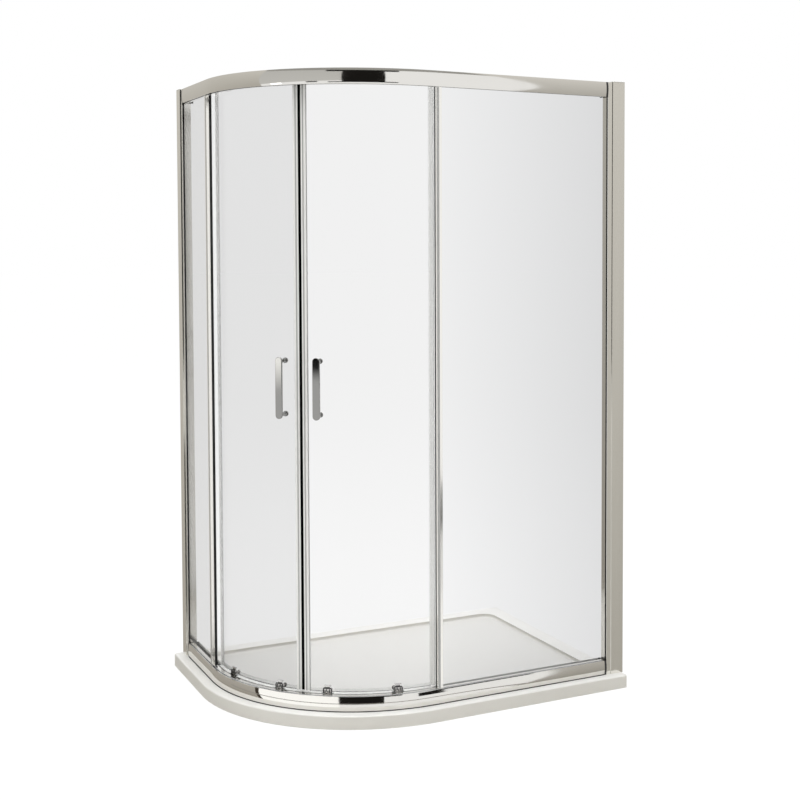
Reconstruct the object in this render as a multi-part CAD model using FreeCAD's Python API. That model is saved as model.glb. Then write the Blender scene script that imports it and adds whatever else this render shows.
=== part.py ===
import FreeCAD, Part
import math
import os

from FreeCAD import Vector

# An offset quadrant shower enclosure on a slim tray, in millimetres.
# +Z is up and the origin is the centre of the tray's underside. X runs along the long side and Y
# along the short one. The walls stand at +X and +Y, and the rounded corner is at -X, -Y.
#
# The frame is drawn from its outer face inwards: u is the depth behind that face. On the straight
# stretches s is the distance past the point where the curve ends, and on the curve a is the angle
# back from that point, so the two doors meet at a = 45. The right-hand half is drawn, and the
# left-hand half is its mirror image about the 45 degree line through the centre of the curve.

# ---- tray ----
TRAY_LENGTH = 1200.0
TRAY_DEPTH = 900.0
TRAY_HEIGHT = 40.0
TRAY_CURVE_RADIUS = 550.0
TRAY_CORNER_RADIUS = 8.0
TRAY_EDGE_ROUNDING = 5.0
RECESS_DEPTH = 14.0
RECESS_WALL_RIM = 58.0
RECESS_FRONT_RIM = 82.0
RECESS_CORNER_RADIUS = 45.0
RECESS_FOOT_ROUNDING = 8.0
WASTE_RADIUS = 45.0
WASTE_RIM = 14.0

# ---- frame ----
FRAME_HEIGHT = 1850.0
FRAME_INSET = 30.0
RAIL_HEIGHT = 45.0
RAIL_BULGE = 3.0
FASCIA_EDGE = 1.5
RAIL_WALL = 2.0
TOP_RAIL_LIP = 6.0
LEDGE_THICKNESS = 3.0
PORT_BLOCK_HEIGHT = 18.0
PORT_HOLE_RADIUS = 2.0
GLASS_THICKNESS = 6.0
GLAZING_GAP = 1.0
SETTING_BLOCK_FLOOR = 2.0
SETTING_BLOCK_GRIP = 4.0
SETTING_BLOCK_LENGTH = 30.0
SETTING_BLOCK_SHARES = (0.2, 0.8)

# ---- wall profiles and jambs, measured out from the wall ----
WALL_PROFILE_REACH = 43.0
WALL_PROFILE_DEPTH = 36.0
WALL_PROFILE_WEB = 2.5
WALL_PROFILE_LEG = 1.8
WALL_SCREW_HOLE_RADIUS = 3.0
WALL_SCREW_COUNT = 3
WALL_SCREW_SPACING = 800.0
CAP_THICKNESS = 3.0
CAP_LIP_LENGTH = 8.0
CAP_EDGE_ROUNDING = 1.5
JAMB_TAIL = 12.0
JAMB_FACE = 59.0
JAMB_WALL = 1.8
JAMB_SLIDE_GAP = 0.4
GLASS_POCKET_DEPTH = 14.0
GASKET_WEB = 2.0
END_BLOCK_THICKNESS = 7.0
END_PLUG_LENGTH = 10.0
END_PLUG_GAP = 0.4
RAIL_SCREW_RADIUS = 1.9
RAIL_SCREW_HEAD_RADIUS = 3.6
RAIL_SCREW_HEAD_HEIGHT = 2.2
RAIL_SCREW_BITE = 20.0
SCREW_HOLE_GAP = 0.3
JAMB_SCREW_RADIUS = 2.0
JAMB_SCREW_REACH = 30.0
JAMB_SCREW_LENGTH = 9.0
JAMB_SCREW_HEAD_RADIUS = 3.8
JAMB_SCREW_HEAD_HEIGHT = 2.0
JAMB_SCREW_COUNT = 3
JAMB_SCREW_SPACING = 700.0
SCREW_COVER_RADIUS = 6.5
SCREW_COVER_HEIGHT = 3.4
SCREW_COVER_ROUNDING = 0.9

# ---- free edges of the fixed glass and the doors ----
FIXED_EDGE_START = 10.5
EDGE_PROFILE_WALL = 1.5
EDGE_PROFILE_FIT = 0.2
FIXED_EDGE_WIDTH = 16.5
FIXED_FIN_REACH = 8.0
FIN_THICKNESS = 2.0
FRAME_TO_STRIP_GAP = 0.5
DOOR_OVERLAP = 16.0
TRAILING_PROFILE_WIDTH = 16.0
TRAILING_FIN_REACH = 13.5
LEADING_PROFILE_WIDTH = 20.0
MAGNET_WIDTH = 4.5
MEETING_GAP = 0.4

# ---- doors and their running gear ----
DOOR_FOOT_GAP = 4.0
DOOR_HEAD_GAP = 2.0
SIDE_PLAY = 6.0
PLATE_THICKNESS = 3.0
PLATE_TO_GLASS = 2.0
FRONT_ROLLER_ANGLE = 36.0
REAR_ROLLER_ANGLE = 12.0
WHEEL_RADIUS = 11.0
WHEEL_WIDTH = 7.0
WHEEL_EDGE_ROUNDING = 1.0
WHEEL_SIDE_GAP = 0.2
WHEEL_TO_PLATE = 1.0
RUNNING_GAP = 0.3
AXLE_RADIUS = 3.0
AXLE_FIT = 0.05
AXLE_HEAD_RADIUS = 4.2
AXLE_HEAD_HEIGHT = 0.8
CARRIAGE_WIDTH = 27.0
CARRIAGE_ROUNDING = 3.0
CARRIAGE_FRONT = 7.5
CARRIAGE_SEAT_GAP = 0.3
TOP_CARRIAGE_LIFT = 1.0
HOUSING_TO_RAIL = 1.5
PLATE_WIDTH = 14.0
TOP_BOLT_RADIUS = 3.0
TOP_BOLT_RISE = 13.5
BOLT_BLIND_END = 1.5
TOP_CAP_RADIUS = 9.0
TOP_CAP_HEIGHT = 5.0
BOLT_HOLE_GAP = 0.7
CAP_ROUNDING = 1.4
HOUSING_HEIGHT = 14.5
SLOT_GAP = 0.2
RELEASE_TRAVEL = 5.0
BUTTON_HEIGHT = 3.2
BUTTON_WIDTH = 20.0
BUTTON_DEPTH = 6.0
BUTTON_ROUNDING = 1.0
SPRING_RADIUS = 1.4
SPRING_POCKET_WIDTH = 4.5
SPRING_POCKET_FLOOR = 2.5
EAR_HEIGHT = 2.0
HOUSING_BOLT_RADIUS = 1.8
HOUSING_BOLT_OFFSET = 10.4
HOUSING_BOLT_RISE = 8.5
HOUSING_CAP_RADIUS = 6.0
HOUSING_CAP_HEIGHT = 4.0
DRIP_SEAL_INSET = 0.5
DRIP_SEAL_LEG = 1.0
DRIP_SEAL_LEG_HEIGHT = 8.0
DRIP_SEAL_NOTCH = 18.0
STOP_LENGTH = 15.0
STOP_DEPTH = 14.0
STOP_HEIGHT = 18.0
OPEN_WHEEL_REACH = 137.0

# ---- handles ----
HANDLE_ANGLE = 38.4
HANDLE_CENTRE_HEIGHT = 976.0
HANDLE_LENGTH = 180.0
HANDLE_WIDTH = 22.0
HANDLE_THICKNESS = 6.0
HANDLE_STAND_OFF = 24.0
HANDLE_EDGE_ROUNDING = 1.2
POST_RADIUS = 5.5
POST_SPACING = 156.0
HANDLE_BOLT_RADIUS = 2.5
HANDLE_BOLT_BITE = 14.0
HANDLE_CAP_RADIUS = 8.0
HANDLE_CAP_HEIGHT = 5.0
WASHER_RADIUS = 8.0
WASHER_THICKNESS = 1.0
WASHER_SEAT_GAP = 0.1

# ---- places worked out from the sizes above ----
CENTRE_X = TRAY_CURVE_RADIUS - TRAY_LENGTH / 2
CENTRE_Y = TRAY_CURVE_RADIUS - TRAY_DEPTH / 2
FRAME_RADIUS = TRAY_CURVE_RADIUS - FRAME_INSET
STRAIGHT = {
    "right": TRAY_LENGTH / 2 - CENTRE_X,
    "left": TRAY_DEPTH / 2 - CENTRE_Y,
}
ROLLER_ANGLE = {
    "rear": REAR_ROLLER_ANGLE,
    "front": FRONT_ROLLER_ANGLE,
}
MEETING_ANGLE = 45.0
DIAGONAL = math.sqrt(0.5)
NEAR = 0.01

FRAME_BOTTOM = TRAY_HEIGHT
FRAME_TOP = TRAY_HEIGHT + FRAME_HEIGHT
BOTTOM_RAIL_TOP = FRAME_BOTTOM + RAIL_HEIGHT
TOP_RAIL_BOTTOM = FRAME_TOP - RAIL_HEIGHT

# Depths behind the outer face of the rail.
GROOVE_U0 = RAIL_BULGE + FASCIA_EDGE
FIXED_GLASS_U0 = GROOVE_U0 + GLAZING_GAP
FIXED_GLASS_U1 = FIXED_GLASS_U0 + GLASS_THICKNESS
GROOVE_U1 = FIXED_GLASS_U1 + GLAZING_GAP
CHANNEL_U0 = GROOVE_U1 + RAIL_WALL
AXLE_HEAD_U0 = CHANNEL_U0 + SIDE_PLAY
WHEEL_U0 = AXLE_HEAD_U0 + AXLE_HEAD_HEIGHT + WHEEL_SIDE_GAP
WHEEL_U1 = WHEEL_U0 + WHEEL_WIDTH
PLATE_U0 = WHEEL_U1 + WHEEL_TO_PLATE
PLATE_U1 = PLATE_U0 + PLATE_THICKNESS
DOOR_U0 = PLATE_U1 + PLATE_TO_GLASS
DOOR_U1 = DOOR_U0 + GLASS_THICKNESS
LEDGE_U1 = PLATE_U0 - SIDE_PLAY
CHANNEL_U1 = PLATE_U1 + SIDE_PLAY
RAIL_U1 = CHANNEL_U1 + RAIL_WALL
DOOR_RADIUS = FRAME_RADIUS - DOOR_U0
CARRIAGE_U0 = DOOR_U0 - CARRIAGE_FRONT
CARRIAGE_U1 = DOOR_U0 - CARRIAGE_SEAT_GAP
PROFILE_U0 = DOOR_U0 - EDGE_PROFILE_FIT - EDGE_PROFILE_WALL
PROFILE_U1 = DOOR_U1 + EDGE_PROFILE_FIT + EDGE_PROFILE_WALL
OUTER_WASHER_U0 = DOOR_U0 - WASHER_SEAT_GAP - WASHER_THICKNESS
INNER_WASHER_U0 = DOOR_U1 + WASHER_SEAT_GAP

GROOVE_FLOOR = PORT_BLOCK_HEIGHT
FIXED_GLASS_Z0 = FRAME_BOTTOM + GROOVE_FLOOR + SETTING_BLOCK_FLOOR
FIXED_GLASS_Z1 = FRAME_TOP - GROOVE_FLOOR - SETTING_BLOCK_FLOOR
PORT_U = (GROOVE_U0 + GROOVE_U1) / 2
PORT_V = PORT_BLOCK_HEIGHT / 2
POCKET_FLOOR = JAMB_FACE - GLASS_POCKET_DEPTH
RAIL_END = JAMB_FACE + END_BLOCK_THICKNESS
FIXED_GLASS_START = FIXED_EDGE_START + EDGE_PROFILE_WALL

DOOR_Z0 = BOTTOM_RAIL_TOP + DOOR_FOOT_GAP
DOOR_Z1 = FRAME_TOP - TOP_RAIL_LIP - DOOR_HEAD_GAP
TOP_AXLE_Z = TOP_RAIL_BOTTOM + LEDGE_THICKNESS + RUNNING_GAP + WHEEL_RADIUS
BOTTOM_AXLE_Z = BOTTOM_RAIL_TOP - LEDGE_THICKNESS - RUNNING_GAP - WHEEL_RADIUS
HOUSING_Z0 = BOTTOM_RAIL_TOP + HOUSING_TO_RAIL
HOUSING_Z1 = HOUSING_Z0 + HOUSING_HEIGHT
SPRING_Z0 = HOUSING_Z0 + SPRING_POCKET_FLOOR
POCKET_Z1 = HOUSING_Z1 - SPRING_POCKET_FLOOR
EAR_Z1 = POCKET_Z1 - SLOT_GAP
EAR_Z0 = EAR_Z1 - EAR_HEIGHT
BUTTON_Z0 = HOUSING_Z1 + RELEASE_TRAVEL + RUNNING_GAP
HOUSING_BOLT_Z = HOUSING_Z0 + HOUSING_BOLT_RISE
TOP_BOLT_Z = TOP_AXLE_Z + TOP_BOLT_RISE
STOP_FACE = OPEN_WHEEL_REACH + WHEEL_RADIUS + RUNNING_GAP

UP = Vector(0, 0, 1)
INWARD = Vector(0, 1, 0)
ALONG = Vector(1, 0, 0)
CURVE_CENTRE = Vector(CENTRE_X, CENTRE_Y, 0)
MIRROR_NORMAL = Vector(1, -1, 0)
SIDES = ("left", "right")


# ---- drawing helpers, all for the right-hand half ----
def point(s, u, z):
    """Point at distance s past the end of the curve, depth u and height z."""
    return Vector(CENTRE_X + s, CENTRE_Y - FRAME_RADIUS + u, z)


def block(s0, s1, u0, u1, z0, z1):
    """Box between two distances, two depths and two heights."""
    return Part.makeBox(s1 - s0, u1 - u0, z1 - z0, point(s0, u0, z0))


def rod(s, u0, u1, z, radius):
    """Round rod that lies across the frame, from depth u0 to depth u1."""
    return Part.makeCylinder(radius, u1 - u0, point(s, u0, z), INWARD)


def prism(corners, z0, z1):
    """Upright prism on a plan outline of (s, u) corners."""
    points = [point(s, u, z0) for s, u in corners]
    points.append(points[0])
    return Part.Face(Part.makePolygon(points)).extrude(UP * (z1 - z0))


def turned(shape, angle):
    """Shape drawn at the end of the curve, moved back round the curve by an angle."""
    copy = shape.copy()
    copy.rotate(CURVE_CENTRE, UP, -angle)
    return copy


def revolved(face, start, end):
    """Face drawn at the end of the curve, swept round the curve between two angles."""
    return turned(face, start).revolve(CURVE_CENTRE, UP, start - end)


def curved(corners, start, end):
    """Bent bar with a section of (u, z) corners, between two angles."""
    points = [point(0, u, z) for u, z in corners]
    points.append(points[0])
    return revolved(Part.Face(Part.makePolygon(points)), start, end)


def curved_slab(u0, u1, z0, z1, start, end):
    """Bent bar with a plain rectangular section, between two angles."""
    return curved([(u0, z0), (u1, z0), (u1, z1), (u0, z1)], start, end)


def door_angle(distance):
    """Angle that a distance along the outer face of the door glass takes."""
    return math.degrees(distance / DOOR_RADIUS)


def fuse(shapes):
    """One solid out of several that meet."""
    whole = shapes[0]
    for shape in shapes[1:]:
        whole = whole.fuse(shape)
    return whole.removeSplitter()


def on_side(shape, side):
    """Right-hand shape as it is, or mirrored for the left-hand half."""
    if side == "right":
        return shape
    return shape.mirror(CURVE_CENTRE, MIRROR_NORMAL)


def cross_edges(shape):
    """Edges of a shape that run straight from front to back."""
    return [edge for edge in shape.Edges if edge.Length - edge.BoundBox.YLength < NEAR]


def face_rims(shape):
    """Edges of a shape that lie in one plane across the frame."""
    return [edge for edge in shape.Edges if edge.BoundBox.YLength < NEAR]


def spread(count, spacing):
    """Offsets of evenly spaced copies about their middle."""
    return [(index - (count - 1) / 2) * spacing for index in range(count)]


# ---- tray ----
def plan_outline(wall_inset, front_inset, corner, z):
    """Closed plan outline of the quadrant, set in from the walls and from the open sides."""
    x0 = -TRAY_LENGTH / 2 + front_inset
    y0 = -TRAY_DEPTH / 2 + front_inset
    x1 = TRAY_LENGTH / 2 - wall_inset
    y1 = TRAY_DEPTH / 2 - wall_inset
    curve = TRAY_CURVE_RADIUS - front_inset

    def at(x, y):
        return Vector(x, y, z)

    def arc(cx, cy, radius, start):
        ends = []
        for turn in (start, start + 45, start + 90):
            angle = math.radians(turn)
            ends.append(at(cx + radius * math.cos(angle), cy + radius * math.sin(angle)))
        return Part.Arc(*ends).toShape()

    middle = at(CENTRE_X - curve * DIAGONAL, CENTRE_Y - curve * DIAGONAL)
    front_left = Part.Arc(at(x0, CENTRE_Y), middle, at(CENTRE_X, y0)).toShape()
    edges = [
        front_left,
        Part.makeLine(at(CENTRE_X, y0), at(x1 - corner, y0)),
        arc(x1 - corner, y0 + corner, corner, 270),
        Part.makeLine(at(x1, y0 + corner), at(x1, y1 - corner)),
        arc(x1 - corner, y1 - corner, corner, 0),
        Part.makeLine(at(x1 - corner, y1), at(x0 + corner, y1)),
        arc(x0 + corner, y1 - corner, corner, 90),
        Part.makeLine(at(x0, y1 - corner), at(x0, CENTRE_Y)),
    ]
    return Part.Face(Part.Wire(edges))


def waste_centre():
    """Plan point of the waste hole, inside the curve and a rim away from the recess's foot."""
    reach = TRAY_CURVE_RADIUS - RECESS_FRONT_RIM - RECESS_FOOT_ROUNDING - WASTE_RIM - WASTE_RADIUS
    return Vector(CENTRE_X - reach * DIAGONAL, CENTRE_Y - reach * DIAGONAL, 0)


def edges_at_height(shape, z):
    """Edges of a shape that lie level at height z."""
    return [
        edge
        for edge in shape.Edges
        if abs(edge.BoundBox.ZMin - z) < NEAR and edge.BoundBox.ZLength < NEAR
    ]


def shower_tray():
    """Slim cast tray: rounded rim, shallow recess with a soft foot, and an open waste hole."""
    slab = plan_outline(0, 0, TRAY_CORNER_RADIUS, 0).extrude(UP * TRAY_HEIGHT)
    slab = slab.makeFillet(TRAY_EDGE_ROUNDING, edges_at_height(slab, TRAY_HEIGHT))
    floor = TRAY_HEIGHT - RECESS_DEPTH
    hollow = plan_outline(RECESS_WALL_RIM, RECESS_FRONT_RIM, RECESS_CORNER_RADIUS, floor)
    hollow = hollow.extrude(UP * RECESS_DEPTH)
    hollow = hollow.makeFillet(RECESS_FOOT_ROUNDING, edges_at_height(hollow, floor))
    hole = Part.makeCylinder(WASTE_RADIUS, TRAY_HEIGHT, waste_centre())
    return slab.cut(hollow).cut(hole)


# ---- rails ----
def rail_face(base, upward):
    """Section of a rail at the end of the curve; upward is 1 for the bottom rail, -1 for the top one.

    The bottom rail's channel has a full inner wall. The top rail's is open to the shower behind a
    short lip, because the head of each door hangs inside it.
    """
    inner_wall = RAIL_HEIGHT if upward > 0 else TOP_RAIL_LIP

    def at(u, v):
        return point(0, u, base + upward * v)

    fascia = Part.Arc(at(RAIL_BULGE, 0), at(0, RAIL_HEIGHT / 2), at(RAIL_BULGE, RAIL_HEIGHT)).toShape()
    ledge = RAIL_HEIGHT - LEDGE_THICKNESS
    corners = [
        (RAIL_BULGE, RAIL_HEIGHT),
        (GROOVE_U0, RAIL_HEIGHT),
        (GROOVE_U0, GROOVE_FLOOR),
        (GROOVE_U1, GROOVE_FLOOR),
        (GROOVE_U1, RAIL_HEIGHT),
        (LEDGE_U1, RAIL_HEIGHT),
        (LEDGE_U1, ledge),
        (CHANNEL_U0, ledge),
        (CHANNEL_U0, RAIL_WALL),
        (CHANNEL_U1, RAIL_WALL),
        (CHANNEL_U1, inner_wall),
        (RAIL_U1, inner_wall),
        (RAIL_U1, 0),
        (RAIL_BULGE, 0),
    ]
    outline = Part.Wire([fascia] + Part.makePolygon([at(u, v) for u, v in corners]).Edges)
    port = Part.Wire(Part.makeCircle(PORT_HOLE_RADIUS, at(PORT_U, PORT_V), ALONG))
    return Part.Face(outline).cut(Part.Face(port))


def rail(base, upward):
    """Whole rail: left straight, quarter curve and right straight in one bent extrusion."""
    face = rail_face(base, upward)
    curve = revolved(face, 0, 90)
    right = face.extrude(ALONG * (STRAIGHT["right"] - RAIL_END))
    left = on_side(face.extrude(ALONG * (STRAIGHT["left"] - RAIL_END)), "left")
    return fuse([curve, right, left])


def rail_ends():
    """Each rail's base height and direction."""
    return ((FRAME_BOTTOM, 1), (FRAME_TOP, -1))


def end_block(side, base, upward):
    """Black plastic block between a jamb and a rail, with a plug in the rail's channel."""
    wall = STRAIGHT[side]

    def span(v0, v1):
        return sorted((base + upward * v0, base + upward * v1))

    def at(u, v):
        return point(wall - RAIL_END, u, base + upward * v)

    fascia = Part.Arc(at(RAIL_BULGE, 0), at(0, RAIL_HEIGHT / 2), at(RAIL_BULGE, RAIL_HEIGHT)).toShape()
    corners = [(RAIL_BULGE, RAIL_HEIGHT), (RAIL_U1, RAIL_HEIGHT), (RAIL_U1, 0), (RAIL_BULGE, 0)]
    back = Part.makePolygon([at(u, v) for u, v in corners])
    plate = Part.Face(Part.Wire([fascia] + back.Edges)).extrude(ALONG * END_BLOCK_THICKNESS)
    notch = block(wall - RAIL_END, wall - JAMB_FACE, GROOVE_U0, GROOVE_U1, *span(GROOVE_FLOOR, RAIL_HEIGHT))
    plug = block(
        wall - RAIL_END - END_PLUG_LENGTH,
        wall - RAIL_END,
        CHANNEL_U0 + END_PLUG_GAP,
        CHANNEL_U1 - END_PLUG_GAP,
        *span(RAIL_WALL + END_PLUG_GAP, RAIL_HEIGHT - LEDGE_THICKNESS - END_PLUG_GAP),
    )
    hole = Part.makeCylinder(
        RAIL_SCREW_RADIUS + SCREW_HOLE_GAP, END_BLOCK_THICKNESS, at(PORT_U, PORT_V), ALONG
    )
    return fuse([plate.cut(notch), plug]).cut(hole)


def rail_screw(side, base, upward):
    """Screw from inside the jamb, through the end block, into the rail's screw port."""
    head_start = STRAIGHT[side] - POCKET_FLOOR + JAMB_WALL
    tip = STRAIGHT[side] - RAIL_END - RAIL_SCREW_BITE
    z = base + upward * PORT_V
    shank = Part.makeCylinder(RAIL_SCREW_RADIUS, head_start - tip, point(tip, PORT_U, z), ALONG)
    head = Part.makeCylinder(
        RAIL_SCREW_HEAD_RADIUS, RAIL_SCREW_HEAD_HEIGHT, point(head_start, PORT_U, z), ALONG
    )
    return fuse([shank, head])


# ---- wall profiles and jambs ----
def wall_screw_heights():
    """Heights of the holes for the wall screws."""
    middle = (FRAME_BOTTOM + FRAME_TOP) / 2
    return [middle + offset for offset in spread(WALL_SCREW_COUNT, WALL_SCREW_SPACING)]


def jamb_screw_heights():
    """Heights of the screws that lock a jamb in its wall profile."""
    middle = (FRAME_BOTTOM + FRAME_TOP) / 2
    return [middle + offset for offset in spread(JAMB_SCREW_COUNT, JAMB_SCREW_SPACING)]


def wall_profile(side):
    """U-shaped profile that is screwed to the wall and takes the jamb."""
    wall = STRAIGHT[side]
    mouth = wall - WALL_PROFILE_REACH
    web = wall - WALL_PROFILE_WEB
    far_leg = WALL_PROFILE_DEPTH - WALL_PROFILE_LEG
    corners = [
        (mouth, 0),
        (wall, 0),
        (wall, WALL_PROFILE_DEPTH),
        (mouth, WALL_PROFILE_DEPTH),
        (mouth, far_leg),
        (web, far_leg),
        (web, WALL_PROFILE_LEG),
        (mouth, WALL_PROFILE_LEG),
    ]
    profile = prism(corners, FRAME_BOTTOM, FRAME_TOP)
    for z in wall_screw_heights():
        start = point(web, WALL_PROFILE_DEPTH / 2, z)
        profile = profile.cut(Part.makeCylinder(WALL_SCREW_HOLE_RADIUS, WALL_PROFILE_WEB, start, ALONG))
    for z in jamb_screw_heights():
        radius = JAMB_SCREW_RADIUS + SCREW_HOLE_GAP
        profile = profile.cut(rod(wall - JAMB_SCREW_REACH, far_leg, WALL_PROFILE_DEPTH, z, radius))
    return profile


def jamb_inner_face():
    """Depth of the jamb's face on the shower side."""
    return WALL_PROFILE_DEPTH - WALL_PROFILE_LEG - JAMB_SLIDE_GAP


def jamb_profile(side):
    """Jamb that slides in the wall profile, holds the glass in a pocket and carries the rail ends."""
    wall = STRAIGHT[side]
    tail = wall - JAMB_TAIL
    face = wall - JAMB_FACE
    pocket = wall - POCKET_FLOOR
    outer = WALL_PROFILE_LEG + JAMB_SLIDE_GAP
    inner = jamb_inner_face()
    corners = [
        (face, outer),
        (tail, outer),
        (tail, outer + JAMB_WALL),
        (pocket + JAMB_WALL, outer + JAMB_WALL),
        (pocket + JAMB_WALL, GROOVE_U1 + JAMB_WALL),
        (face + JAMB_WALL, GROOVE_U1 + JAMB_WALL),
        (face + JAMB_WALL, inner - JAMB_WALL),
        (tail, inner - JAMB_WALL),
        (tail, inner),
        (face, inner),
        (face, GROOVE_U1),
        (pocket, GROOVE_U1),
        (pocket, GROOVE_U0),
        (face, GROOVE_U0),
    ]
    profile = prism(corners, FRAME_BOTTOM, FRAME_TOP)
    for base, upward in rail_ends():
        start = point(pocket, PORT_U, base + upward * PORT_V)
        hole = Part.makeCylinder(RAIL_SCREW_RADIUS + SCREW_HOLE_GAP, JAMB_WALL, start, ALONG)
        profile = profile.cut(hole)
    for z in jamb_screw_heights():
        profile = profile.cut(rod(wall - JAMB_SCREW_REACH, inner - JAMB_WALL, inner, z, JAMB_SCREW_RADIUS))
    return profile


def top_cap(side):
    """Small cap on top of a wall profile, with a lip that plugs into it."""
    wall = STRAIGHT[side]
    mouth = wall - WALL_PROFILE_REACH
    plate = block(mouth, wall, 0, WALL_PROFILE_DEPTH, FRAME_TOP, FRAME_TOP + CAP_THICKNESS)
    plate = plate.makeFillet(CAP_EDGE_ROUNDING, edges_at_height(plate, FRAME_TOP + CAP_THICKNESS))
    lip = block(
        wall - JAMB_TAIL + JAMB_SLIDE_GAP,
        wall - WALL_PROFILE_WEB - JAMB_SLIDE_GAP,
        WALL_PROFILE_LEG + JAMB_SLIDE_GAP,
        jamb_inner_face(),
        FRAME_TOP - CAP_LIP_LENGTH,
        FRAME_TOP,
    )
    return fuse([plate, lip])


def jamb_screw(side, z):
    """Self-tapping screw through the wall profile's inner leg into the jamb."""
    s = STRAIGHT[side] - JAMB_SCREW_REACH
    seat = WALL_PROFILE_DEPTH
    shank = rod(s, seat - JAMB_SCREW_LENGTH, seat, z, JAMB_SCREW_RADIUS)
    head = rod(s, seat, seat + JAMB_SCREW_HEAD_HEIGHT, z, JAMB_SCREW_HEAD_RADIUS)
    return fuse([shank, head])


def jamb_screw_cover(side, z):
    """Snap-on cover over a jamb screw's head."""
    s = STRAIGHT[side] - JAMB_SCREW_REACH
    seat = WALL_PROFILE_DEPTH
    outside = rod(s, seat, seat + SCREW_COVER_HEIGHT, z, SCREW_COVER_RADIUS)
    crown = outside.BoundBox.YMax
    rim = [edge for edge in face_rims(outside) if abs(edge.BoundBox.YMax - crown) < NEAR]
    outside = outside.makeFillet(SCREW_COVER_ROUNDING, rim)
    inside = rod(s, seat, seat + JAMB_SCREW_HEAD_HEIGHT, z, JAMB_SCREW_HEAD_RADIUS)
    return outside.cut(inside)


# ---- fixed glass ----
def fixed_glass(side):
    """Flat pane from its setting blocks in the rails to the gasket in the jamb."""
    end = STRAIGHT[side] - POCKET_FLOOR - GASKET_WEB
    return block(FIXED_GLASS_START, end, FIXED_GLASS_U0, FIXED_GLASS_U1, FIXED_GLASS_Z0, FIXED_GLASS_Z1)


def glass_gasket(side):
    """U-shaped gasket round the wall edge of a fixed pane, in the jamb's pocket."""
    pocket = STRAIGHT[side] - POCKET_FLOOR
    face = STRAIGHT[side] - JAMB_FACE
    corners = [
        (face, GROOVE_U0),
        (pocket, GROOVE_U0),
        (pocket, GROOVE_U1),
        (face, GROOVE_U1),
        (face, FIXED_GLASS_U1),
        (pocket - GASKET_WEB, FIXED_GLASS_U1),
        (pocket - GASKET_WEB, FIXED_GLASS_U0),
        (face, FIXED_GLASS_U0),
    ]
    return prism(corners, BOTTOM_RAIL_TOP, TOP_RAIL_BOTTOM)


def setting_blocks(side):
    """Grooved blocks that carry and hold a fixed pane in both rails."""
    end = STRAIGHT[side] - RAIL_END
    blocks = []
    for base, upward in rail_ends():
        floor = base + upward * GROOVE_FLOOR
        seat = floor + upward * SETTING_BLOCK_FLOOR
        crown = seat + upward * SETTING_BLOCK_GRIP
        for share in SETTING_BLOCK_SHARES:
            middle = FIXED_GLASS_START + share * (end - FIXED_GLASS_START)
            s0 = middle - SETTING_BLOCK_LENGTH / 2
            s1 = middle + SETTING_BLOCK_LENGTH / 2
            whole = block(s0, s1, GROOVE_U0, GROOVE_U1, min(floor, crown), max(floor, crown))
            slot = block(s0, s1, FIXED_GLASS_U0, FIXED_GLASS_U1, min(seat, crown), max(seat, crown))
            blocks.append(whole.cut(slot))
    return blocks


def fixed_edge_profile():
    """Channel on the free edge of a fixed pane."""
    s0 = FIXED_EDGE_START
    s1 = s0 + FIXED_EDGE_WIDTH
    outer = FIXED_GLASS_U0 - EDGE_PROFILE_WALL
    inner = FIXED_GLASS_U1 + EDGE_PROFILE_WALL
    corners = [
        (s0, outer),
        (s1, outer),
        (s1, FIXED_GLASS_U0),
        (FIXED_GLASS_START, FIXED_GLASS_U0),
        (FIXED_GLASS_START, FIXED_GLASS_U1),
        (s1, FIXED_GLASS_U1),
        (s1, inner),
        (s0, inner),
    ]
    return prism(corners, BOTTOM_RAIL_TOP + FRAME_TO_STRIP_GAP, TOP_RAIL_BOTTOM - FRAME_TO_STRIP_GAP)


def fixed_edge_fin():
    """Soft fin that closes the gap between a fixed pane and the shut door."""
    start = FIXED_GLASS_U1 + EDGE_PROFILE_WALL
    return block(
        FIXED_EDGE_START,
        FIXED_EDGE_START + FIN_THICKNESS,
        start,
        start + FIXED_FIN_REACH,
        BOTTOM_RAIL_TOP + FRAME_TO_STRIP_GAP,
        TOP_RAIL_BOTTOM - FRAME_TO_STRIP_GAP,
    )


def door_stop():
    """Rubber stop on the top rail's ledge, where the rear top wheel ends its travel."""
    floor = TOP_RAIL_BOTTOM + LEDGE_THICKNESS
    back = CHANNEL_U0 + STOP_DEPTH
    return block(STOP_FACE, STOP_FACE + STOP_LENGTH, CHANNEL_U0, back, floor, floor + STOP_HEIGHT)


# ---- doors ----
LEADING_EDGE = MEETING_ANGLE - door_angle(MEETING_GAP / 2)
LEADING_WEB_FRONT = LEADING_EDGE - door_angle(MAGNET_WIDTH)
GLASS_LEADING_EDGE = LEADING_WEB_FRONT - door_angle(EDGE_PROFILE_WALL)
TRAILING_EDGE = -door_angle(DOOR_OVERLAP)
GLASS_TRAILING_EDGE = TRAILING_EDGE + door_angle(EDGE_PROFILE_WALL)


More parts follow.
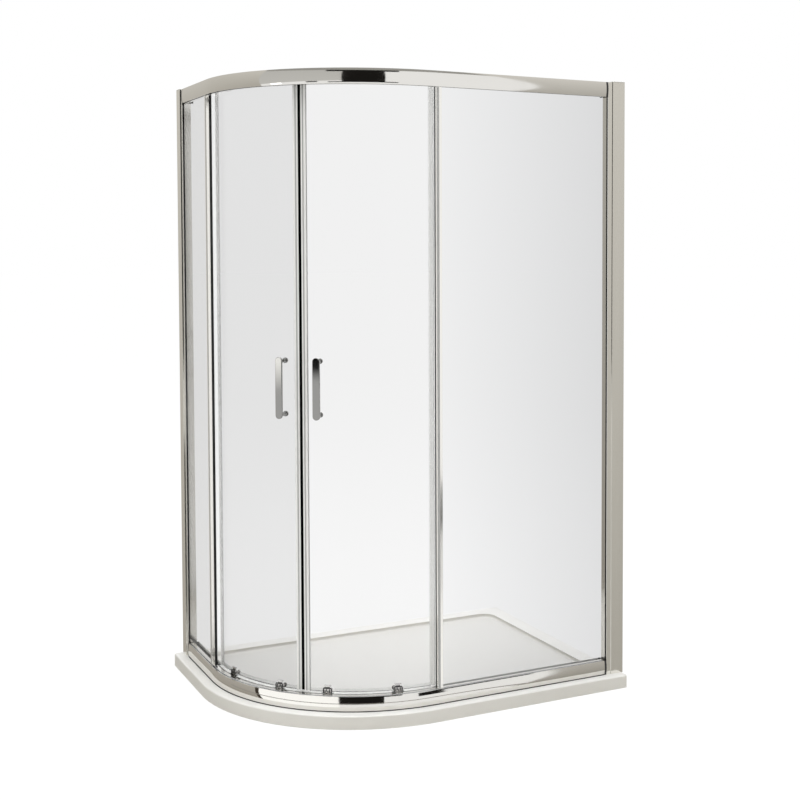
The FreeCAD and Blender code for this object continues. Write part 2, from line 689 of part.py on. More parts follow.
def door_glass():
    """Curved pane with holes for its carriages and its handle."""
    pane = curved_slab(DOOR_U0, DOOR_U1, DOOR_Z0, DOOR_Z1, GLASS_TRAILING_EDGE, GLASS_LEADING_EDGE)
    for angle in ROLLER_ANGLE.values():
        top_hole = rod(0, CARRIAGE_U0, DOOR_U1 + TOP_CAP_HEIGHT, TOP_BOLT_Z, TOP_BOLT_RADIUS + BOLT_HOLE_GAP)
        foot_hole = rod(
            -HOUSING_BOLT_OFFSET,
            CARRIAGE_U0,
            DOOR_U1 + HOUSING_CAP_HEIGHT,
            HOUSING_BOLT_Z,
            HOUSING_BOLT_RADIUS + BOLT_HOLE_GAP,
        )
        pane = pane.cut(turned(top_hole, angle)).cut(turned(foot_hole, angle))
    for z in post_heights():
        hole = rod(0, CARRIAGE_U0, DOOR_U1 + HANDLE_CAP_HEIGHT, z, HANDLE_BOLT_RADIUS + BOLT_HOLE_GAP)
        pane = pane.cut(turned(hole, HANDLE_ANGLE))
    return pane


def edge_channel(web_start, web_end, leg_end):
    """Channel round an upright edge of a door pane, with its web and two legs between angles."""
    low, high = sorted((web_start, web_end))
    web = curved_slab(PROFILE_U0, PROFILE_U1, DOOR_Z0, DOOR_Z1, low, high)
    low, high = sorted((web_end, leg_end))
    front_leg = curved_slab(PROFILE_U0, PROFILE_U0 + EDGE_PROFILE_WALL, DOOR_Z0, DOOR_Z1, low, high)
    back_leg = curved_slab(PROFILE_U1 - EDGE_PROFILE_WALL, PROFILE_U1, DOOR_Z0, DOOR_Z1, low, high)
    return fuse([web, front_leg, back_leg])


def leading_seal():
    """Channel on the edge where the doors meet, which holds the magnet strip."""
    leg_end = LEADING_EDGE - door_angle(LEADING_PROFILE_WIDTH)
    return edge_channel(LEADING_WEB_FRONT, GLASS_LEADING_EDGE, leg_end)


def magnet_strip():
    """Dark magnet strip on the front of the leading channel."""
    return curved_slab(DOOR_U0, DOOR_U1, DOOR_Z0, DOOR_Z1, LEADING_WEB_FRONT, LEADING_EDGE)


def trailing_profile():
    """Channel on the edge that slides behind the fixed pane."""
    leg_end = TRAILING_EDGE + door_angle(TRAILING_PROFILE_WIDTH)
    return edge_channel(TRAILING_EDGE, GLASS_TRAILING_EDGE, leg_end)


def trailing_fin():
    """Soft fin that hooks behind the fixed pane's fin when the door is shut."""
    root = PROFILE_U0 - EDGE_PROFILE_FIT
    return curved_slab(
        root - TRAILING_FIN_REACH,
        root,
        DOOR_Z0,
        TOP_RAIL_BOTTOM - FRAME_TO_STRIP_GAP,
        TRAILING_EDGE,
        TRAILING_EDGE + door_angle(FIN_THICKNESS),
    )


def drip_seal():
    """Clear seal under the door glass, notched where the carriages' caps are."""
    foot = BOTTOM_RAIL_TOP + RUNNING_GAP
    front = DOOR_U0 + DRIP_SEAL_INSET
    leg = DOOR_U1 + EDGE_PROFILE_FIT
    back = leg + DRIP_SEAL_LEG
    leg_top = DOOR_Z0 + DRIP_SEAL_LEG_HEIGHT
    section = [
        (front, foot),
        (back, foot),
        (back, leg_top),
        (leg, leg_top),
        (leg, DOOR_Z0),
        (front, DOOR_Z0),
    ]
    leg_end = LEADING_EDGE - door_angle(LEADING_PROFILE_WIDTH)
    seal = curved(section, TRAILING_EDGE + door_angle(TRAILING_PROFILE_WIDTH), leg_end)
    for angle in ROLLER_ANGLE.values():
        notch = block(-DRIP_SEAL_NOTCH, DRIP_SEAL_NOTCH, DOOR_U0, back + DRIP_SEAL_LEG, DOOR_Z0, leg_top)
        seal = seal.cut(turned(notch, angle))
    return seal


# ---- handles ----
def post_heights():
    """Heights of a handle's two posts."""
    return [HANDLE_CENTRE_HEIGHT + offset for offset in spread(2, POST_SPACING)]


def handle():
    """Flat bar with round ends, cast in one with its two posts."""
    front = DOOR_U0 - HANDLE_STAND_OFF - HANDLE_THICKNESS
    back = front + HANDLE_THICKNESS
    straight = (HANDLE_LENGTH - HANDLE_WIDTH) / 2
    low = HANDLE_CENTRE_HEIGHT - straight
    high = HANDLE_CENTRE_HEIGHT + straight
    half = HANDLE_WIDTH / 2
    bar = fuse(
        [
            block(-half, half, front, back, low, high),
            rod(0, front, back, low, half),
            rod(0, front, back, high, half),
        ]
    )
    bar = bar.makeFillet(HANDLE_EDGE_ROUNDING, face_rims(bar))
    pieces = [bar]
    for z in post_heights():
        pieces.append(rod(0, back, OUTER_WASHER_U0, z, POST_RADIUS))
    whole = fuse(pieces)
    for z in post_heights():
        tap = rod(0, OUTER_WASHER_U0 - HANDLE_BOLT_BITE, OUTER_WASHER_U0, z, HANDLE_BOLT_RADIUS)
        whole = whole.cut(tap)
    return turned(whole, HANDLE_ANGLE)


def capped_bolt(s, z, tip, seat, radius, cap_radius, cap_height):
    """Bolt from inside the shower, with a wide low cap on the glass's inner side."""
    shank = rod(s, tip, seat, z, radius)
    cap = rod(s, seat, seat + cap_height, z, cap_radius)
    rim = [edge for edge in cap.Edges if abs(edge.BoundBox.YMin - cap.BoundBox.YMax) < NEAR]
    return fuse([shank, cap.makeFillet(CAP_ROUNDING, rim)])


def handle_bolts():
    """Two bolts that hold a handle's posts against the glass."""
    tip = OUTER_WASHER_U0 - HANDLE_BOLT_BITE
    seat = INNER_WASHER_U0 + WASHER_THICKNESS
    return [
        turned(
            capped_bolt(0, z, tip, seat, HANDLE_BOLT_RADIUS, HANDLE_CAP_RADIUS, HANDLE_CAP_HEIGHT),
            HANDLE_ANGLE,
        )
        for z in post_heights()
    ]


def handle_washers():
    """Clear washers on both faces of the glass at each handle post."""
    washers = []
    for z in post_heights():
        for u0 in (OUTER_WASHER_U0, INNER_WASHER_U0):
            ring = rod(0, u0, u0 + WASHER_THICKNESS, z, WASHER_RADIUS)
            ring = ring.cut(rod(0, u0, u0 + WASHER_THICKNESS, z, HANDLE_BOLT_RADIUS + BOLT_HOLE_GAP))
            washers.append(turned(ring, HANDLE_ANGLE))
    return washers


# ---- running gear ----
def stub_axle(z):
    """Axle that stands out of a carriage plate, with its rivet head outside the wheel."""
    axle = rod(0, AXLE_HEAD_U0, PLATE_U0, z, AXLE_RADIUS)
    head = rod(0, AXLE_HEAD_U0, AXLE_HEAD_U0 + AXLE_HEAD_HEIGHT, z, AXLE_HEAD_RADIUS)
    return [axle, head]


def rounded_plate(width, u0, u1, z0, z1, rounding):
    """Plate across the frame with its four corners rounded."""
    plate = block(-width / 2, width / 2, u0, u1, z0, z1)
    return plate.makeFillet(rounding, cross_edges(plate))


def top_carriage():
    """Hanger plate on the head of the glass, hidden in the top rail, with the wheel's axle."""
    foot = TOP_RAIL_BOTTOM + TOP_CARRIAGE_LIFT
    plate = rounded_plate(CARRIAGE_WIDTH, PLATE_U0, CARRIAGE_U1, foot, DOOR_Z1, CARRIAGE_ROUNDING)
    whole = fuse([plate] + stub_axle(TOP_AXLE_Z))
    return whole.cut(rod(0, PLATE_U0 + BOLT_BLIND_END, CARRIAGE_U1, TOP_BOLT_Z, TOP_BOLT_RADIUS))


def foot_housing():
    """Housing on the foot of the glass, in which the sprung slider runs."""
    body = rounded_plate(CARRIAGE_WIDTH, CARRIAGE_U0, CARRIAGE_U1, HOUSING_Z0, HOUSING_Z1, CARRIAGE_ROUNDING)
    half = PLATE_WIDTH / 2 + SLOT_GAP
    front = PLATE_U0 - SLOT_GAP
    back = PLATE_U1 + SLOT_GAP
    slot = block(-half, half, front, back, HOUSING_Z0, HOUSING_Z1)
    pocket = block(half, half + SPRING_POCKET_WIDTH, front, back, SPRING_Z0, POCKET_Z1)
    tap = rod(
        -HOUSING_BOLT_OFFSET, CARRIAGE_U0 + BOLT_BLIND_END, CARRIAGE_U1, HOUSING_BOLT_Z, HOUSING_BOLT_RADIUS
    )
    return body.cut(slot).cut(pocket).cut(tap)


def foot_slider():
    """Slider with the push button on top, the spring's ear at its side and the wheel's axle below."""
    half = PLATE_WIDTH / 2
    stem = block(-half, half, PLATE_U0, PLATE_U1, BOTTOM_AXLE_Z - half, BUTTON_Z0)
    ear = block(half, half + SPRING_POCKET_WIDTH - SLOT_GAP, PLATE_U0, PLATE_U1, EAR_Z0, EAR_Z1)
    middle = (PLATE_U0 + PLATE_U1) / 2
    button = rounded_plate(
        BUTTON_WIDTH,
        middle - BUTTON_DEPTH / 2,
        middle + BUTTON_DEPTH / 2,
        BUTTON_Z0,
        BUTTON_Z0 + BUTTON_HEIGHT,
        BUTTON_ROUNDING,
    )
    return fuse([stem, ear, button] + stub_axle(BOTTOM_AXLE_Z))


def foot_spring():
    """Outer shape of the spring that lifts a slider, between the pocket's floor and the ear."""
    centre = PLATE_WIDTH / 2 + SLOT_GAP + SPRING_POCKET_WIDTH / 2
    start = point(centre, (PLATE_U0 + PLATE_U1) / 2, SPRING_Z0)
    return Part.makeCylinder(SPRING_RADIUS, EAR_Z0 - SPRING_Z0, start)


def wheel(z):
    """Nylon wheel with a running bore and rounded edges."""
    tyre = rod(0, WHEEL_U0, WHEEL_U1, z, WHEEL_RADIUS)
    tyre = tyre.makeFillet(WHEEL_EDGE_ROUNDING, face_rims(tyre))
    return tyre.cut(rod(0, WHEEL_U0, WHEEL_U1, z, AXLE_RADIUS + AXLE_FIT))


def carriage_bolts():
    """Bolts that clamp a door's carriages to its glass."""
    bolts = []
    for angle in ROLLER_ANGLE.values():
        seat = DOOR_U1 + CARRIAGE_SEAT_GAP
        top = capped_bolt(
            0,
            TOP_BOLT_Z,
            PLATE_U0 + BOLT_BLIND_END,
            seat,
            TOP_BOLT_RADIUS,
            TOP_CAP_RADIUS,
            TOP_CAP_HEIGHT,
        )
        foot = capped_bolt(
            -HOUSING_BOLT_OFFSET,
            HOUSING_BOLT_Z,
            CARRIAGE_U0 + BOLT_BLIND_END,
            seat,
            HOUSING_BOLT_RADIUS,
            HOUSING_CAP_RADIUS,
            HOUSING_CAP_HEIGHT,
        )
        bolts.append(turned(top, angle))
        bolts.append(turned(foot, angle))
    return bolts


# ---- assembly ----
def add(nodes, name, shapes):
    """Keep a node: one solid, or a group of separate ones."""
    nodes[name] = shapes[0] if len(shapes) == 1 else Part.makeCompound(shapes)


def frame_nodes(nodes):
    """Pieces that stand still."""
    add(nodes, "shower_tray", [shower_tray()])
    add(nodes, "bottom_rail", [rail(FRAME_BOTTOM, 1)])
    add(nodes, "top_rail", [rail(FRAME_TOP, -1)])
    groups = {
        "profile_caps": [],
        "rail_end_blocks": [],
        "rail_screws": [],
        "jamb_screws": [],
        "jamb_screw_covers": [],
        "glass_gaskets": [],
        "setting_blocks": [],
        "fixed_edge_fins": [],
        "door_stops": [],
    }
    for side in SIDES:
        add(nodes, "wall_profile_" + side, [on_side(wall_profile(side), side)])
        add(nodes, "jamb_profile_" + side, [on_side(jamb_profile(side), side)])
        add(nodes, "fixed_glass_" + side, [on_side(fixed_glass(side), side)])
        add(nodes, "fixed_edge_profile_" + side, [on_side(fixed_edge_profile(), side)])
        groups["profile_caps"].append(on_side(top_cap(side), side))
        groups["glass_gaskets"].append(on_side(glass_gasket(side), side))
        groups["fixed_edge_fins"].append(on_side(fixed_edge_fin(), side))
        groups["door_stops"].append(on_side(door_stop(), side))
        for base, upward in rail_ends():
            groups["rail_end_blocks"].append(on_side(end_block(side, base, upward), side))
            groups["rail_screws"].append(on_side(rail_screw(side, base, upward), side))
        for z in jamb_screw_heights():
            groups["jamb_screws"].append(on_side(jamb_screw(side, z), side))
            groups["jamb_screw_covers"].append(on_side(jamb_screw_cover(side, z), side))
        groups["setting_blocks"] += [on_side(piece, side) for piece in setting_blocks(side)]
    for name, shapes in groups.items():
        add(nodes, name, shapes)


def door_nodes(nodes, side):
    """Pieces of one sliding door."""
    single = {
        "door_glass": door_glass(),
        "leading_seal": leading_seal(),
        "magnet_strip": magnet_strip(),
        "trailing_profile": trailing_profile(),
        "trailing_fin": trailing_fin(),
        "drip_seal": drip_seal(),
        "handle": handle(),
    }
    groups = {
        "handle_bolts": handle_bolts(),
        "handle_washers": handle_washers(),
        "carriage_bolts": carriage_bolts(),
        "top_carriages": [turned(top_carriage(), angle) for angle in ROLLER_ANGLE.values()],
        "foot_housings": [turned(foot_housing(), angle) for angle in ROLLER_ANGLE.values()],
    }
    for name, shape in single.items():
        add(nodes, name + "_" + side, [on_side(shape, side)])
    for name, shapes in groups.items():
        add(nodes, name + "_" + side, [on_side(shape, side) for shape in shapes])
    for place, angle in ROLLER_ANGLE.items():
        gear = {
            "top_wheel": wheel(TOP_AXLE_Z),
            "foot_wheel": wheel(BOTTOM_AXLE_Z),
            "foot_slider": foot_slider(),
            "foot_spring": foot_spring(),
        }
        for name, shape in gear.items():
            add(nodes, "_".join((name, side, place)), [on_side(turned(shape, angle), side)])


def main():
    """Build every node and write it to its own STEP file."""
    nodes = {}
    frame_nodes(nodes)
    for side in SIDES:
        door_nodes(nodes, side)
    os.makedirs("parts", exist_ok=True)
    for name, shape in nodes.items():
        solids = len(shape.Solids)
        print(name, "solids", solids, "valid", shape.isValid(), "volume", round(shape.Volume))
        shape.exportStep(os.path.join("parts", name + ".step"))
    print(len(nodes), "nodes")


main()
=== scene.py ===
"""Looks of an offset quadrant shower enclosure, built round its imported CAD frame.

Every size is in metres, in the frame of the CAD model: +Z is up, the origin is the middle of the
tray's underside, and the rounded corner points to -X and -Y. Depth u is measured inwards from the
outer face of the rails, and s is the distance past the end of the curve.
"""

import logging
import math
from dataclasses import dataclass
from enum import Enum

import bmesh
import bpy
from mathutils import Matrix, Vector

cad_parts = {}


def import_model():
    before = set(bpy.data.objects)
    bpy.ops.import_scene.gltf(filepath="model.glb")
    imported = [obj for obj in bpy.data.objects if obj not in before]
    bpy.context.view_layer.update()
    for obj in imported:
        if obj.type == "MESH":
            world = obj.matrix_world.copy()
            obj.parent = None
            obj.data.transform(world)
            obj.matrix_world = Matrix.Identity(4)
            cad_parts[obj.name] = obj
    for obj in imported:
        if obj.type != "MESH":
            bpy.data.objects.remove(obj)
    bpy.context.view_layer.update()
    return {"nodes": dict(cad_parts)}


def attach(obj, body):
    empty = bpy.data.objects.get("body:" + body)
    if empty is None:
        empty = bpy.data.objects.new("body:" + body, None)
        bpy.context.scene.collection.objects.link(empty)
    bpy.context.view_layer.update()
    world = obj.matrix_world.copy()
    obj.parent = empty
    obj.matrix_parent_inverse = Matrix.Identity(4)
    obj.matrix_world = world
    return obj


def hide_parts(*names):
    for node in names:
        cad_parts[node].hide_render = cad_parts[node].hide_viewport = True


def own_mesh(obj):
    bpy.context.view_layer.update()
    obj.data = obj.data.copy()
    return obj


LOG = logging.getLogger("shower_enclosure")
Colour = tuple[float, float, float]
Span = tuple[float, float]
Corners = list[Span]
Mesh = bpy.types.Mesh
Piece = bpy.types.Object
Socket = bpy.types.NodeSocket
Node = bpy.types.Node
STILL = Matrix.Identity(4)
WHITE = (1.0, 1.0, 1.0)
BLACK = (0.012, 0.011, 0.010)
CREASE = 32.0  # edges sharper than this many degrees stay crisp
BEVEL_ANGLE = 35.0
WELD = 1e-6
NODE_WELD = 2e-6
FLAT_ANGLE = 1.0  # faces of a CAD node that meet at less than this many degrees are joined


def stand(name: str, data: bpy.types.ID) -> Piece:
    """Put an object in the scene.

    Args:
        name: Name of the object.
        data: Its mesh, lamp or camera.

    Returns:
        The object.
    """
    made = bpy.data.objects.new(name, data)
    bpy.context.scene.collection.objects.link(made)
    return made


# ---- node trees ----
class NodeBench:
    """Adds nodes to a tree and joins them."""

    prefix = ""

    def __init__(self, tree: bpy.types.NodeTree) -> None:
        """Start from an empty tree."""
        self.tree = tree
        self.tree.nodes.clear()

    def node(
        self, kind: str, inputs: dict[str | int, object] | None = None, **settings: object
    ) -> Node:
        """Add a node.

        Args:
            kind: Blender's name for the kind of node, after the bench's prefix.
            inputs: What goes into its inputs: a value, a socket, or a node for its first outlet.
            **settings: Properties of the node and their values.

        Returns:
            The new node.
        """
        made = self.tree.nodes.new(self.prefix + kind)
        for key, value in settings.items():
            setattr(made, key, value)
        for key, value in (inputs or {}).items():
            inlet = made.inputs[key]
            if isinstance(value, Node):
                value = next(outlet for outlet in value.outputs if outlet.enabled)
            if isinstance(value, Socket):
                self.tree.links.new(value, inlet)
            else:
                inlet.default_value = (*value, 1.0) if inlet.type == "RGBA" else value
        return made


class ShaderBench(NodeBench):
    """Makes the patterns and mixes of one material or world."""

    prefix = "ShaderNode"

    def __init__(self, holder: bpy.types.Material | bpy.types.World) -> None:
        """Start the shader of a new material or world."""
        holder.use_nodes = True
        super().__init__(holder.node_tree)

    def noise(self, place: Node, scale: float, detail: float) -> Node:
        """Cloudy pattern from 0 to 1, with its repeats per metre and levels of finer detail."""
        return self.node("TexNoise", {"Vector": place, "Scale": scale, "Detail": detail})

    def along(self, axis: str, span: Span) -> Node:
        """Rise from 0 to 1 along one of the object's axes.

        Args:
            axis: X, Y or Z.
            span: Places on the axis where the rise starts and ends.

        Returns:
            The rising value.
        """
        where = self.node("TexCoord").outputs["Object"]
        split = self.node("SeparateXYZ", {"Vector": where})
        rise = {"Value": split.outputs[axis], "From Min": span[0], "From Max": span[1]}
        return self.node("MapRange", rise)

    def blend(self, value: Node | Socket, first: Colour, second: Colour | Node) -> Node:
        """Mix two colours by a pattern.

        Args:
            value: Pattern from 0 to 1.
            first: Colour where the pattern is 0.
            second: Colour where the pattern is 1.

        Returns:
            The mixed colour.
        """
        colours = {"Factor": value, "A": first, "B": second}
        return self.node("Mix", colours, data_type="RGBA")

    def by_ray(self, lighting: Node, seen: Node) -> Node:
        """Show one shader to the rays that light matt surfaces, and another as the background.

        Args:
            lighting: Shader for diffuse rays.
            seen: Shader for camera, glossy and transmission rays.

        Returns:
            The mixed shader.
        """
        rays = self.node("LightPath").outputs
        seeing = rays["Is Camera Ray"]
        for label in ("Is Glossy Ray", "Is Transmission Ray"):
            seeing = self.node("Math", {0: seeing, 1: rays[label]}, operation="MAXIMUM")
        return self.node("MixShader", {"Fac": seeing, 1: lighting, 2: seen})


class ShapeTree(NodeBench):
    """A geometry tree with named inputs, which turns an object into a plain mesh."""

    def __init__(self, name: str, **inputs: str) -> None:
        """Start the tree with its sockets.

        Args:
            name: Name of the tree.
            **inputs: Kind of each input, between the geometry and the material.
        """
        super().__init__(bpy.data.node_groups.new(name, "GeometryNodeTree"))
        kinds = {"Geometry": "Geometry", **inputs, "Material": "Material"}
        socket = self.tree.interface.new_socket
        self.keys = {
            label: socket(name=label, in_out="INPUT", socket_type="NodeSocket" + kind).identifier
            for label, kind in kinds.items()
        }
        socket(name="Geometry", in_out="OUTPUT", socket_type="NodeSocketGeometry")
        self.given = self.node("NodeGroupInput").outputs

    def close(self, made: Node) -> None:
        """End the tree in Realize Instances and Set Material.

        Args:
            made: Node that makes the geometry.
        """
        real = self.node("GeometryNodeRealizeInstances", {"Geometry": made})
        painted = {"Geometry": real, "Material": self.given["Material"]}
        self.node("NodeGroupOutput", {"Geometry": self.node("GeometryNodeSetMaterial", painted)})

    def run(self, host: Piece, finish: "Finish", **values: object) -> Mesh:
        """Run the tree on an object and keep only the plain mesh.

        Args:
            host: Object that the tree starts from; it is removed.
            finish: Finish of the result.
            **values: Value of each other input; objects among them are removed too.

        Returns:
            The mesh that the tree made.
        """
        modifier = host.modifiers.new("shape", "NODES")
        modifier.node_group = self.tree
        for label, value in values.items():
            modifier[self.keys[label]] = value
        modifier[self.keys["Material"]] = finish.value.material()
        bpy.context.view_layer.update()
        graph = bpy.context.evaluated_depsgraph_get()
        mesh = bpy.data.meshes.new_from_object(host.evaluated_get(graph), depsgraph=graph)
        host.modifiers.remove(modifier)
        for spent in [host] + [value for value in values.values() if isinstance(value, Piece)]:
            bpy.data.objects.remove(spent)
        return mesh


def sweep_tree() -> ShapeTree:
    """Build the tree that sweeps a section along a level path.

    Returns:
        The tree.
    """
    tree = ShapeTree("sweep_section", Section="Object", Capped="Bool", Weld="Float")
    path = tree.node("GeometryNodeMeshToCurve", {"Mesh": tree.given["Geometry"]})
    level = tree.node("GeometryNodeSetCurveNormal", {"Curve": path}, mode="Z_UP")
    section = tree.node("GeometryNodeObjectInfo", {"Object": tree.given["Section"]})
    outline = tree.node("GeometryNodeMeshToCurve", {"Mesh": section.outputs["Geometry"]})
    parts = {"Curve": level, "Profile Curve": outline, "Fill Caps": tree.given["Capped"]}
    sweep = tree.node("GeometryNodeCurveToMesh", parts)
    joined = {"Geometry": sweep, "Distance": tree.given["Weld"]}
    tree.close(tree.node("GeometryNodeMergeByDistance", joined))
    return tree


def copy_tree() -> ShapeTree:
    """Build the tree that sets a copy of a unit on every point, turned to the point's facing.

    Returns:
        The tree.
    """
    tree = ShapeTree("set_copies", Unit="Object")
    unit = tree.node("GeometryNodeObjectInfo", {"Object": tree.given["Unit"]})
    facing = tree.node(
        "GeometryNodeInputNamedAttribute", {"Name": "facing"}, data_type="FLOAT_VECTOR"
    )
    aim = tree.node("FunctionNodeAlignRotationToVector", {"Vector": facing}, axis="Z")
    parts = {"Points": tree.given["Geometry"], "Instance": unit.outputs["Geometry"]}
    tree.close(tree.node("GeometryNodeInstanceOnPoints", {**parts, "Rotation": aim}))
    return tree


def coil_tree() -> ShapeTree:
    """Build the tree that winds a spring of round wire, upwards from the origin.

    Returns:
        The tree.
    """
    tree = ShapeTree("wind_spring", Coil="Float", Wire="Float", Height="Float", Turns="Float")
    given, coil = tree.given, tree.given["Coil"]
    radii = {"Resolution": 20, "Start Radius": coil, "End Radius": coil}
    rise = {"Height": given["Height"], "Rotations": given["Turns"]}
    spiral = tree.node("GeometryNodeCurveSpiral", radii | rise)
    outline = {"Resolution": 8, "Radius": given["Wire"]}
    wire = tree.node("GeometryNodeCurvePrimitiveCircle", outline)
    parts = {"Curve": spiral, "Profile Curve": wire, "Fill Caps": True}
    tree.close(tree.node("GeometryNodeCurveToMesh", parts))
    return tree


# ---- finishes ----
@dataclass(frozen=True)
class Surface:
    """A finish: two close colours in soft clouds, uneven gloss and a fine relief.

    With a grade, the second colour comes in along X instead, as painted shade that darkens a pane
    towards one end. A walls colour is painted shade on every face that doesn't face up, and a
    recess colour is painted shade on what faces up below the recess heights. Upright scales the
    pattern along Z, and slot is the record's slot where that isn't the finish's own name.
    """

    name: str
    colour: Colour
    deep: Colour
    gloss: Span
    clouds: float = 4.0
    grain: float = 300.0
    relief: float = 0.05
    relief_depth: float = 0.00005
    upright: float = 1.0
    metallic: float = 0.0
    transmission: float = 0.0
    ior: float = 1.5
    specular: float = 0.5
    # painted shade: span on X over which the second colour comes in
    grade: Span | None = None
    # painted shade: colour for every face that doesn't face up
    painted_side_shade: Colour | None = None
    # painted shade: colour for what faces up below the recess heights
    painted_recess_shade: Colour | None = None
    recess_heights: Span = (0.0265, 0.030)
    slot: str = ""
    cloud_detail: float = 3.0
    smear_detail: float = 4.0
    smear_fineness: float = 6.0
    smear_range: Span = (0.3, 0.7)
    grain_detail: float = 2.0

    def material(self) -> bpy.types.Material:
        """Build the finish, or give it back where it is built already.

        Returns:
            The material.
        """
        made = bpy.data.materials.get(self.name)
        if made is not None:
            return made
        made = bpy.data.materials.new(self.name)
        bench = ShaderBench(made)
        where = bench.node("TexCoord").outputs["Object"]
        scale = (1.0, 1.0, self.upright)
        place = bench.node("Mapping", {"Vector": where, "Scale": scale})
        # With a grade, the two colours are laid as painted shade along X instead of clouds.
        if self.grade is None:
            cloud = bench.noise(place, self.clouds, self.cloud_detail)
        else:
            cloud = bench.along("X", self.grade)
        shade = bench.blend(cloud, self.colour, self.deep)
        # Painted shade: what faces up below the recess heights, the recess floor, takes the darker
        # recess colour.
        if self.painted_recess_shade is not None:
            shade = bench.blend(bench.along("Z", self.recess_heights), self.painted_recess_shade, shade)
        # Painted shade: faces blend to the walls colour as they turn away from facing up, so the
        # sides render darker than the top.
        if self.painted_side_shade is not None:
            normal = bench.node("NewGeometry").outputs["Normal"]
            facing = bench.node("SeparateXYZ", {"Vector": normal})
            shade = bench.blend(facing.outputs["Z"], self.painted_side_shade, shade)
        rough, sheen = self.gloss
        if rough != sheen:
            smear = bench.noise(place, self.clouds * self.smear_fineness, self.smear_detail)
            low, high = self.smear_range
            ends = {"From Min": low, "From Max": high, "To Min": rough, "To Max": sheen}
            rough = bench.node("MapRange", {"Value": smear, **ends})
        looks = {
            "Base Color": shade,
            "Metallic": self.metallic,
            "Roughness": rough,
            "IOR": self.ior,
            "Transmission Weight": self.transmission,
            "Specular IOR Level": self.specular,
        }
        if self.relief:
            height = bench.noise(place, self.grain, self.grain_detail)
            bump = {"Strength": self.relief, "Distance": self.relief_depth, "Height": height}
            looks["Normal"] = bench.node("Bump", bump)
        bench.node("OutputMaterial", {"Surface": bench.node("BsdfPrincipled", looks)})
        return made


def pane(name: str, pale: Colour, deep: Colour, **more: object) -> Surface:
    """Clear glass of a low index, which gives the faint reflections of the photograph.

    Args:
        name: Name of the material.
        pale: Lighter tint.
        deep: Darker tint.
        **more: Other fields of the finish.

    Returns:
        The finish.
    """
    return Surface(name, pale, deep, (0.0, 0.0), relief=0.0, transmission=1.0, ior=1.08, **more)


